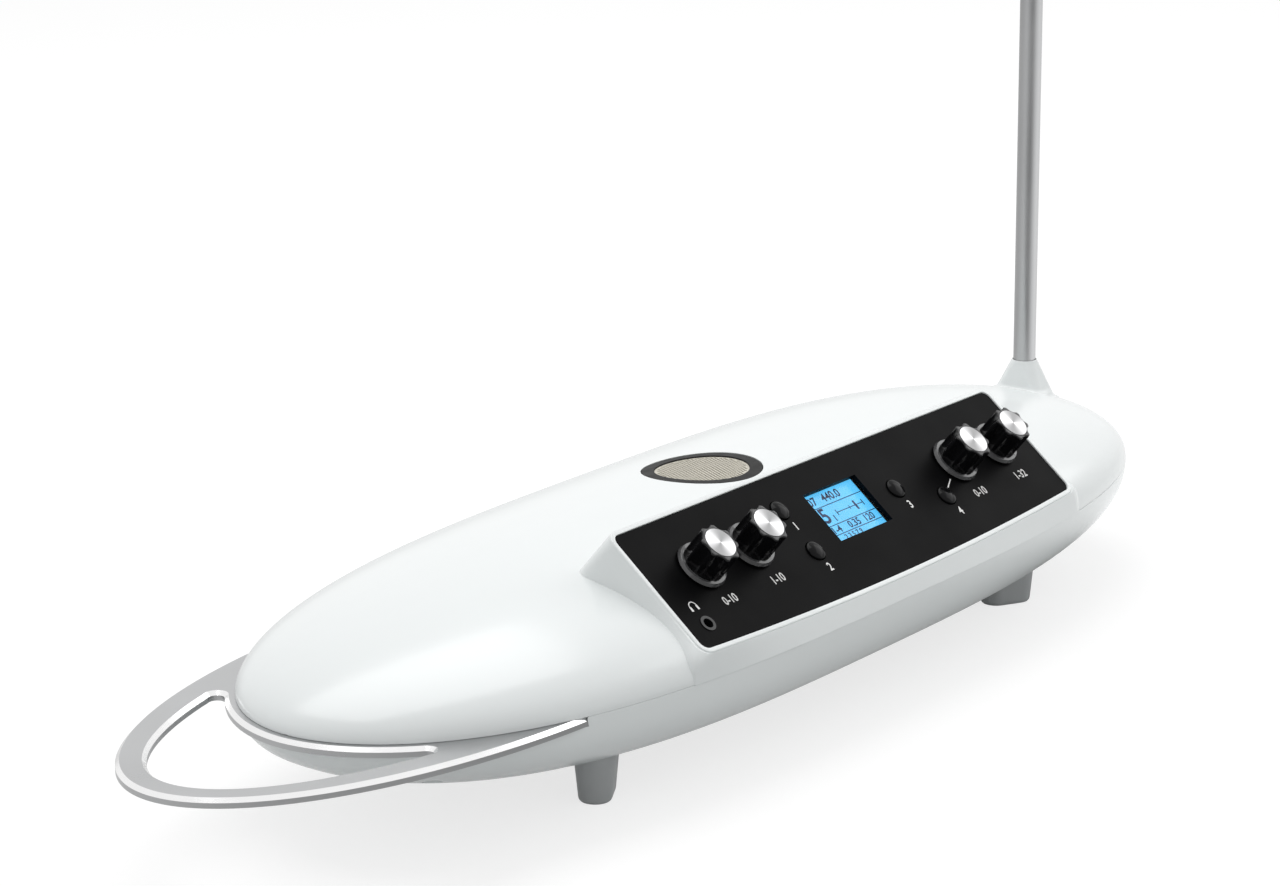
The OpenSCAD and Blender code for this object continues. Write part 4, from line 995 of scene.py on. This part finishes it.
knob_black = make_finish("knob_black", (0.004, 0.004, 0.0045), 0.13, mottle=0.1, mottle_size=0.01,
                         spread=0.03, Specular_IOR_Level=0.3)
# The top ring is part of the black moulding; its lighter base colour is painted sheen for the light that the
# ring mirrors.
knob_rim = make_finish("knob_rim", (0.035, 0.035, 0.036), 0.3, mottle=0.05, mottle_size=0.004)
# The skirt is part of the black moulding; its dark grey base, lighter than the body's, is painted sheen for
# the light that it mirrors.
skirt_grey = make_finish("skirt_grey", (0.05, 0.05, 0.052), 0.2, mottle=0.05, mottle_size=0.006,
                         Coat_Weight=0.6, Coat_Roughness=0.08)


def make_knob(name, spot):
    rings = [circle(r, w, knob_sides) for r, w in (
        (shaft_r, 10.3), (shaft_r, skirt_low), (knob_r - 0.2, skirt_low), (knob_r - 0.06, skirt_low + 0.06),
        (knob_r, skirt_low + 0.2), (knob_r - 0.4, 2.0), (knob_r - 0.46, 2.14), (knob_r - 0.6, skirt_top),
        (body_r + 0.1, skirt_top))]
    rings += [fluted_ring(body_r, w) for w in (skirt_top + 0.06, 4.5, 7, 9.5, 11.9)]
    rings += [fluted_ring(body_r - 0.42 * (1 - cos(a)), knob_top - 0.5 + 0.42 * sin(a))
              for a in (0, 0.4, 0.8, 1.2)]
    rings.append(fluted_ring(body_r - 0.65, knob_top))
    rings += [circle(r, w, knob_sides) for r, w in (
        (cap_r + 0.25, knob_top), (cap_r + 0.08, knob_top - 0.12), (cap_r + 0.05, knob_top - cap_t))]
    piece = loft(name + "_fluted_knob", rings)
    stand_for(smooth(piece, 40), Matrix.Translation((*spot, 0)), knob_black, "knob", name + "_knob")
    # Painted sheen: the faces of the skirt get the lighter grey finish.
    finish_faces(piece, skirt_grey, lambda face: face.center.z < skirt_top + 0.01)
    # Painted sheen: the faces of the top ring get the lighter finish.
    finish_faces(piece, knob_rim, lambda face: face.center.z > knob_top - 0.14)
    piece.data.transform(panel_frame)


# The spun discs' colour holds a painted highlight: a fan of bright and dark wedges round the middle stands in
# for mirrored light. The fine rings are real grooves, and the anisotropic gloss is real.
spun, tree, shader = new_finish("spun_aluminium")
polar = add_node(tree, "ShaderNodeUVMap", uv_map="polar")
around = add_node(tree, "ShaderNodeSeparateXYZ", [(0, polar)])
turned = Number(tree, around) * tau
# Painted highlight: bright and dark wedges round the disc's middle, worked into its base colour
painted_wedge_highlight = (turned + 0.9).math("COSINE").math("ABSOLUTE") ** 2.5
fine_rings = add_node(tree, "ShaderNodeTexNoise", [("Scale", 900.0), ("W", around.outputs[1])],
                      noise_dimensions="1D")
shade = painted_wedge_highlight * 0.55 + 0.2 + Number(tree, fine_rings) * 0.1
tint = add_node(tree, "ShaderNodeCombineXYZ", [(0, shade), (1, shade), (2, shade * 1.01)])
rough = Number(tree, fine_rings) * 0.12 + 0.26
tangent = add_node(tree, "ShaderNodeTangent", direction_type="UV_MAP", uv_map="polar")
feed(shader, [("Base Color", tint), ("Roughness", rough), ("Metallic", 1.0), ("Anisotropic", 0.85),
              ("Tangent", tangent)])


def make_cap(name, spot, sides=96):
    """The spun disc; its UV map holds the angle and the distance from its middle."""
    radii = [0.05, 0.6, 1.5, 2.5, 3.5, 4.5, cap_r - 0.25]
    profile = [(cap_r, knob_top - cap_t), (cap_r, knob_top + 0.02), (cap_r - 0.08, knob_top + 0.1)]
    piece = lathe(name + "_spun_disc", profile + [(r, knob_top + 0.1) for r in reversed(radii)], sides)
    polar = piece.data.uv_layers.new(name="polar")
    for face in piece.data.polygons:
        middle = atan2(face.center.y, face.center.x) / tau
        for corner in face.loop_indices:
            p = piece.data.vertices[piece.data.loops[corner].vertex_index].co
            turn = atan2(p.y, p.x) / tau
            turn -= round(turn - middle)
            polar.data[corner].uv = (turn, hypot(p.x, p.y) / cap_r)
    stand_for(smooth(piece), panel_frame @ Matrix.Translation((*spot, 0)), spun, "spun_cap",
              name + "_knob_cap")


for name, spot in knob_spots.items():
    make_knob(name, spot)
    make_cap(name, spot)
    copy_of(name + "_knob_shaft", 0.0003, steel, "steel", name + "_shaft")

# ==== Push buttons ====
# Four domed round keys of dark ABS behind the faceplate; a flange keeps each in its hole, and
# its stem reaches down to a switch on the control board.
key_r, key_dome, key_edge = 3.7, 0.9, 0.6
stem_r, stem_low, flange_r, flange_t, flange_top = 1.6, -7.2, 4.8, 1.2, -face_t - 0.3
dome_r = (key_r ** 2 + key_dome ** 2) / (2 * key_dome)
key_black = make_finish("key_black", (0.003, 0.003, 0.0034), 0.14, mottle=0.06, mottle_size=0.004,
                        spread=0.03, Specular_IOR_Level=0.12)
for name, spot in button_spots.items():
    profile = [(stem_r, stem_low), (stem_r, flange_top - flange_t), (flange_r, flange_top - flange_t),
               (flange_r, flange_top), (key_r, flange_top), (key_r, key_edge - 0.25),
               (key_r - 0.05, key_edge - 0.08)]
    profile += [(r, key_edge + key_dome - dome_r + sqrt(dome_r ** 2 - r ** 2))
                for r in (key_r - 0.22, 3.2, 2.7, 2.2, 1.7, 1.2, 0.7, 0.3, 0.03)]
    stand_for(smooth(lathe(name + "_round_key", profile, 72), 40),
              panel_frame @ Matrix.Translation((*spot, 0)), key_black, "buttons", name + "_button")

# ==== Panel printing ====
# White screen print on the faceplate: plain numbers at the controls, a sign for headphones,
# and a line that joins the delay's knob to its button.
ink_t = 0.02


def ribbon_line(points, width, low=0.0, high=ink_t):
    """A flat printed stroke along points."""
    left, right = [], []
    for i, (x, y) in enumerate(points):
        (ax, ay), (bx, by) = points[max(0, i - 1)], points[min(len(points) - 1, i + 1)]
        length = hypot(bx - ax, by - ay)
        nx, ny = (ay - by) / length * width / 2, (bx - ax) / length * width / 2
        left.append((x + nx, y + ny))
        right.append((x - nx, y - ny))
    return flat_outline(left + right[::-1], low, high, "stroke")


print_white = make_finish("white_print", (0.80, 0.80, 0.79), 0.5, mottle=0.03, mottle_size=0.001)
sign_u, sign_v = phones_spot[0] - 0.2, phones_spot[1] + 6.9
prints = [ribbon_line([(sign_u + 1.75 * cos(a), sign_v + 2.1 * sin(a))
                       for a in (pi * k / 16 for k in range(17))], 0.34)]
prints += [bar(sign_u + side * 1.55, sign_v - 0.4, 0.9, 1.8, 0, ink_t) for side in (-1, 1)]
prints.append(ribbon_line([(56.6, 20.9), (52.0, 18.3)], 0.45))
labels = [(text, knob_spots[name] + Vector((aside, -14.2))) for text, name, aside in
          (("0-10", "volume", 1.2), ("1-10", "pitch", 1.0), ("0-10", "delay", 0.6), ("1-32", "presets", 0.8))]
labels += [(text, button_spots[name] + Vector((aside, -below))) for text, name, aside, below in (
    ("1", "scale", 1.5, 7.4), ("2", "root", 0.6, 7.2), ("3", "setup", 0.8, 7.4), ("4", "delay", 0.8, 7.2))]
prints += [flat_text(text, 4.5, *spot, 0, ink_t, 0.85) for text, spot in labels]
stand_for(join(prints, "panel_print"), panel_frame, print_white, "faceplate", "faceplate")

# ==== Speaker and grille ====
# A small loudspeaker under the crown, behind a perforated disc of cream-painted steel. A black
# ring, pressed into a round recess, holds the disc.


def field_tree():
    """Upright pins in a triangular pattern inside a circle, as the cutters of the holes."""
    tree, start, end = shape_tree("hole_field", {"Pitch": 1.0, "Field radius": 1.0, "Pin radius": 1.0,
                                                 "Pin height": 1.0, "Rows": 1, "Finish": None})
    rows = start.outputs["Rows"]
    grid = add_node(tree, "GeometryNodeMeshGrid", [("Size X", 1.0), ("Size Y", 1.0), ("Vertices X", rows),
                                                   ("Vertices Y", rows)])
    place = add_node(tree, "GeometryNodeInputPosition")
    split = add_node(tree, "ShaderNodeSeparateXYZ", [(0, place)])
    count = Number(tree, rows) - 1.0
    row = (Number(tree, split.outputs[1]) * count).math("ROUND")
    column = (Number(tree, split) * count).math("ROUND")
    shift = row.math("ABSOLUTE").math("MODULO", 2.0) * 0.5
    x = (column + shift) * Number(tree, start.outputs["Pitch"])
    y = row * Number(tree, start.outputs["Pitch"]) * (sqrt(3) / 2)
    far = (x * x + y * y).math("SQRT").math("GREATER_THAN", Number(tree, start.outputs["Field radius"]))
    spot = add_node(tree, "ShaderNodeCombineXYZ", [(0, x), (1, y)])
    kept = add_node(tree, "GeometryNodeDeleteGeometry", [(0, grid), (1, far)])
    moved = add_node(tree, "GeometryNodeSetPosition",
                     [("Geometry", kept), ("Position", spot)])
    pin = add_node(tree, "GeometryNodeMeshCylinder",
                   [("Vertices", 12), ("Radius", start.outputs["Pin radius"]),
                    ("Depth", start.outputs["Pin height"])])
    placed = add_node(tree, "GeometryNodeInstanceOnPoints", [("Points", moved), ("Instance", pin)])
    finish_tree(tree, end, placed, start.outputs["Finish"])
    return tree


mesh_cream = make_finish("cream_paint", (0.56, 0.53, 0.45), 0.5, mottle=0.04, mottle_size=0.004,
                         grain=4e-6, grain_size=0.0003)
ring_black = make_finish("ring_black", (0.010, 0.010, 0.0095), 0.5, mottle=0.05, mottle_size=0.004,
                         Specular_IOR_Level=0.12)
hole_pitch, hole_r = 1.45, 0.52
pins = run_tree("pins", field_tree(), {
    "Pitch": hole_pitch, "Field radius": mesh_r - 1.0, "Pin radius": hole_r, "Pin height": 20.0, "Rows": 31,
    "Finish": mesh_cream})
pins.data.transform(Matrix.Translation((0, grille_y, crown_h)))
grille = combine(crown_disc("speaker_mesh", mesh_r, 0.6, 1.35), face_outwards(pins))
stand_for(smooth(grille), case_frame, mesh_cream, "grille_mesh", "speaker_grille")
stand_for(smooth(crown_disc("speaker_ring", grille_r, 0.1, 1.35, mesh_r + 0.05, 0.35), 60), case_frame,
          ring_black, "grille_ring", "grille_ring")
basket_steel = make_finish("basket_steel", (0.32, 0.32, 0.33), 0.36, 1.0, mottle=0.06, mottle_size=0.006)
paper = make_finish("black_paper", (0.012, 0.012, 0.012), 0.7, mottle=0.15, mottle_size=0.003,
                    grain=2e-5, grain_size=0.0008)
copy_of("loudspeaker_basket", 0.0003, basket_steel, "speaker_metal", "speaker_basket", angle=0.2)
copy_of("loudspeaker_cone", 0.0002, paper, "speaker_cone", "speaker_cone", angle=0.2)
copy_of("loudspeaker_magnet", 0.0004, basket_steel, "speaker_metal", "speaker_magnet")

# ==== Main board ====
# The second green circuit board, on four posts of the lower shell. The chips, the capacitors
# and all the rear sockets are soldered to it.
copy_of("rear_board", 0.00015, board_green, "circuit_board", "main_board")
chip_black = make_finish("chip_black", (0.018, 0.018, 0.019), 0.45, mottle=0.06, mottle_size=0.003,
                         grain=6e-6, grain_size=0.0003)
copy_of("chips_and_capacitors", 0.00025, chip_black, "chips", "board_chips")

# ==== Rear sockets ====
# A black panel closes the bay in the back. Three large jacks with hexagonal nuts, a data
# socket, the power inlet and the power button come through it, and plain numbers mark them.
copy_of("bay_panel", 0.00025, satin_black, "rear_panel", "rear_panel")
for name, node in (("left_large_jack", "audio_jack_left"), ("right_large_jack", "audio_jack_right"),
                   ("control_large_jack", "cv_jack")):
    copy_of(name, 0.0003, gloss_black, "jacks", node)
copy_of("hex_nuts", 0.0003, steel, "steel", "jack_nuts")
bright_tin = make_finish("bright_tin", (0.55, 0.55, 0.54), 0.22, 1.0, mottle=0.05, mottle_size=0.003)
copy_of("data_socket", 0.00025, bright_tin, "usb_shell", "usb_socket")
copy_of("power_inlet_socket", 0.00025, gloss_black, "jacks", "dc_socket")
copy_of("latching_switch", 0.0003, switch_black, "switches", "power_switch")
copy_of("power_key", 0.0005, key_black, "buttons", "power_button")
bay_out, socket_z = bay_back + 2, (bay_low + bay_top) / 2
rear_frame = case_frame @ Matrix.Translation((0, bay_out, socket_z)) @ Matrix.Rotation(pi / 2, 4, "X")
rear_frame = rear_frame @ Matrix.Rotation(pi, 4, "Y")
rear_places, mark_size, mark_row = (54, 31, 8, -17, -38, -56), 2.6, -7.1
marks = [flat_text(str(k + 1), mark_size, -x, mark_row, 0, ink_t) for k, x in enumerate(rear_places)]
stand_for(join(marks, "rear_print"), rear_frame, print_white, "rear_panel", "rear_panel")

# ==== Underside ====
# A brass insert with a thread for a microphone stand, and four oval feet of grey rubber, each
# held by one sunk screw.
thread_pitch, thread_deep, insert_bore = 0.94, 0.45, 7.4
insert_steps = int(stand_depth / thread_pitch * 8)


def thread_ring(k, sides=64):
    """One ring of the insert's bore: the depth of the groove runs round with the angle."""
    z = stand_depth * k / insert_steps
    ring = []
    for i in range(sides):
        phase = (z / thread_pitch - i / sides) % 1
        r = insert_bore + thread_deep * min(1.0, max(0.0, 1.25 - 3 * abs(phase - 0.5)))
        ring.append((r * cos(tau * i / sides), r * sin(tau * i / sides), z))
    return ring


insert = loft("threaded_insert", [circle(stand_r - 0.3, 0), circle(stand_r, 0.3),
                                  circle(stand_r, stand_depth)]
              + [thread_ring(k) for k in range(insert_steps, -1, -1)], True)
insert.data.transform(Matrix.Translation((0, 0, -keel_h)))
stand_for(smooth(insert, 40), case_frame, brass, "brass", "stand_insert")

foot_low = (case_frame.inverted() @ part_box("foot_front_left")[0]).z
foot_half_l, foot_half_w, foot_taper, foot_turn = 11.0, 7.0, 1.4, radians(30)
foot_round, foot_wall, head_deep = 2, 18, 3
foot_grey = make_finish("foot_grey", (0.46, 0.475, 0.48), 0.38, mottle=0.03, mottle_size=0.01,
                        grain=6e-6, grain_size=0.0006)


def foot_ring(r, z, sides=24):
    """A flat-sided oval of the end radius r."""
    reach = foot_half_l - foot_half_w
    return [(side * reach + r * cos(a), r * sin(a), z)
            for side, first in ((1, -pi / 2), (-1, pi / 2))
            for a in (first + pi * i / sides for i in range(sides + 1))]


def make_foot(label, x, y):
    sole, waist, top = foot_half_w - foot_taper - 1, foot_half_w - foot_taper, foot_half_w + 0.3
    rings = [foot_ring(sole + sin(a), foot_low + foot_round - foot_round * cos(a))
             for a in (pi / 2 * k / 6 for k in range(7))]
    rings += [foot_ring(waist + (top - waist) * k / 4, foot_low + foot_round + foot_wall * k / 4)
              for k in range(1, 5)]
    foot = loft(label, rings)
    foot.data.transform(Matrix.Translation((x, y, 0))
                        @ Matrix.Rotation(copysign(foot_turn, x * y), 4, "Z"))
    combine(foot, hull("belly", -keel_h, keel_powers, 0, 160, 65, edge=0.0, drop=-2.0))
    combine(foot, drum(x, y, foot_low - 1, foot_low + head_deep, head_hole_r),
            drum(x, y, foot_low - 1, foot_low + 22, 1.6, 32))
    stand_for(smooth(face_outwards(foot), 50), case_frame, foot_grey, "foot_rubber", "foot_" + label[5:])


for label, (x, y) in foot_spots.items():
    make_foot("oval_" + label, x, y)
foot_seats = [(x, y, foot_low + head_deep) for x, y in foot_spots.values()]
foot_screw_l = keel_under(*foot_spots["front_left"]) + 5 - foot_low - head_deep
foot_screws = copies("foot_screw_set", screw(*case_screw, foot_screw_l), foot_seats, steel, seed=8)
stand_for(foot_screws, case_frame, steel, "steel", "foot_screws")

# ==== Wires ====
# A grey ribbon joins the two boards. A red and a black lead run from the rod's socket and from
# the loop plate to the main board.
ribbon_grey = make_finish("ribbon_grey", (0.28, 0.29, 0.31), 0.45, mottle=0.05, mottle_size=0.003)
copy_of("board_ribbon", 0, ribbon_grey, "ribbon", "panel_ribbon")
wire_red = make_finish("red_insulation", (0.45, 0.02, 0.02), 0.4, mottle=0.05, mottle_size=0.005)
copy_of("rod_lead", 0, wire_red, "lead_red", "antenna_lead", angle=0.1)
wire_black = make_finish("black_insulation", (0.015, 0.015, 0.016), 0.4, mottle=0.05, mottle_size=0.005)
copy_of("plate_lead", 0, wire_black, "lead_black", "loop_lead", angle=0.1)

# ==== Studio ====
# A pale floor and an even white surround, with a large soft lamp above and one at the right. In
# mirrors only, the floor has the grey cards that give the rod its bands. The camera stands where
# the photograph was taken from.
camera = bpy.data.objects.new("camera", bpy.data.cameras.new("camera"))
bpy.context.scene.collection.objects.link(camera)
view_right = Vector((0.60262, -0.79799, -0.00805))
view_down = Vector((-0.21957, -0.15610, -0.96303))
view_back = view_right.cross(-view_down)
camera_place = (-0.980806, -0.730500, 0.430751)
camera.matrix_world = Matrix.Translation(camera_place) @ Matrix(
    (view_right, -view_down, view_back)).transposed().to_4x4()
camera.data.sensor_width = 36
camera.data.lens = 105.76
camera.data.clip_end = 50
bpy.context.scene.camera = camera


def seen_rays(tree):
    """The light path, and whether a ray is one that the eye sees, mirrored or through a clear piece."""
    rays = add_node(tree, "ShaderNodeLightPath")
    camera_ray, glossy_ray, through_ray = (Number(tree, rays.outputs[f"Is {kind} Ray"])
                                           for kind in ("Camera", "Glossy", "Transmission"))
    return rays, camera_ray.math("MAXIMUM", glossy_ray).math("MAXIMUM", through_ray)


floor = solid_piece("floor", [(-6, -6, 0), (6, -6, 0), (6, 6, 0), (-6, 6, 0)], [(0, 1, 2, 3)])
floor_finish = bpy.data.materials.new("floor_paper")
floor_finish.use_nodes = True
tree = floor_finish.node_tree
tree.nodes.clear()
rays, seen = seen_rays(tree)
soft = add_node(tree, "ShaderNodeBsdfDiffuse", [("Color", (0.30, 0.30, 0.30, 1))])
lit = add_node(tree, "ShaderNodeEmission", [("Color", (1, 1, 1, 1)), ("Strength", 0.74)])
plain = add_node(tree, "ShaderNodeAddShader", [(0, soft), (1, lit)])
around_rod = add_node(tree, "ShaderNodeVectorMath",
                      [(0, add_node(tree, "ShaderNodeTexCoord").outputs["Object"]),
                       (1, case_frame @ Vector((rod_x, 0, 0)))], operation="SUBTRACT")
aside, ahead = (Number(tree, add_node(tree, "ShaderNodeVectorMath", [(0, around_rod), (1, way)],
                                      operation="DOT_PRODUCT").outputs["Value"])
                for way in ((view_right.x, view_right.y, 0), (view_back.x, view_back.y, 0)))
turned = aside.math("ARCTAN2", ahead) / tau + 0.5
cards = add_node(tree, "ShaderNodeValToRGB", [(0, turned)])
for spot, level in ((0.0, 0.4), (0.25, 0.35), (0.37, 0.5), (0.44, 0.25), (0.51, 0.0), (0.57, 0.1),
                    (0.66, 0.7), (0.75, 1.0), (0.84, 0.85), (1.0, 0.45)):
    ends = cards.color_ramp.elements
    stop = ends[0] if spot == 0 else ends[-1] if spot == 1 else ends.new(spot)
    stop.color = (level, level, level, 1)
mirrored = add_node(tree, "ShaderNodeEmission", [("Color", cards), ("Strength", 1.1)])
carded = add_node(tree, "ShaderNodeAddShader", [(0, soft), (1, mirrored)])
pale = add_node(tree, "ShaderNodeMixShader", [(0, rays.outputs["Is Camera Ray"]), (1, carded),
                                              (2, plain)])
dim = add_node(tree, "ShaderNodeBsdfDiffuse", [("Color", (0.58, 0.59, 0.59, 1))])
mixed = add_node(tree, "ShaderNodeMixShader", [(0, seen), (1, dim), (2, pale)])
add_node(tree, "ShaderNodeOutputMaterial", [("Surface", mixed)])
floor.data.materials.append(floor_finish)

world = bpy.data.worlds.new("surround")
bpy.context.scene.world = world
world.use_nodes = True
tree = world.node_tree
background = tree.nodes["Background"]
rays, seen = seen_rays(tree)
level = add_node(tree, "ShaderNodeMapRange", [(0, seen), (3, 0.62), (4, 1.0)])
feed(background, [("Color", (1, 1, 1, 1)), ("Strength", level)])


def softbox(name, place, target, size, power):
    """A large rectangular lamp that looks at a target."""
    lamp = bpy.data.objects.new(name, bpy.data.lights.new(name, "AREA"))
    bpy.context.scene.collection.objects.link(lamp)
    lamp.data.shape = "RECTANGLE"
    lamp.data.size, lamp.data.size_y = size
    lamp.data.energy = power
    lamp.location = place
    lamp.rotation_euler = (Vector(target) - Vector(place)).to_track_quat("-Z", "Y").to_euler()


softbox("softbox_above", (0.1, 0.35, 1.5), (0.02, 0, 0.05), (1.6, 1.2), 13)
softbox("softbox_right", (1.2, -0.55, 0.9), (0, 0, 0.03), (1.2, 0.8), 3.4)

bpy.context.scene.view_settings.view_transform = "Standard"
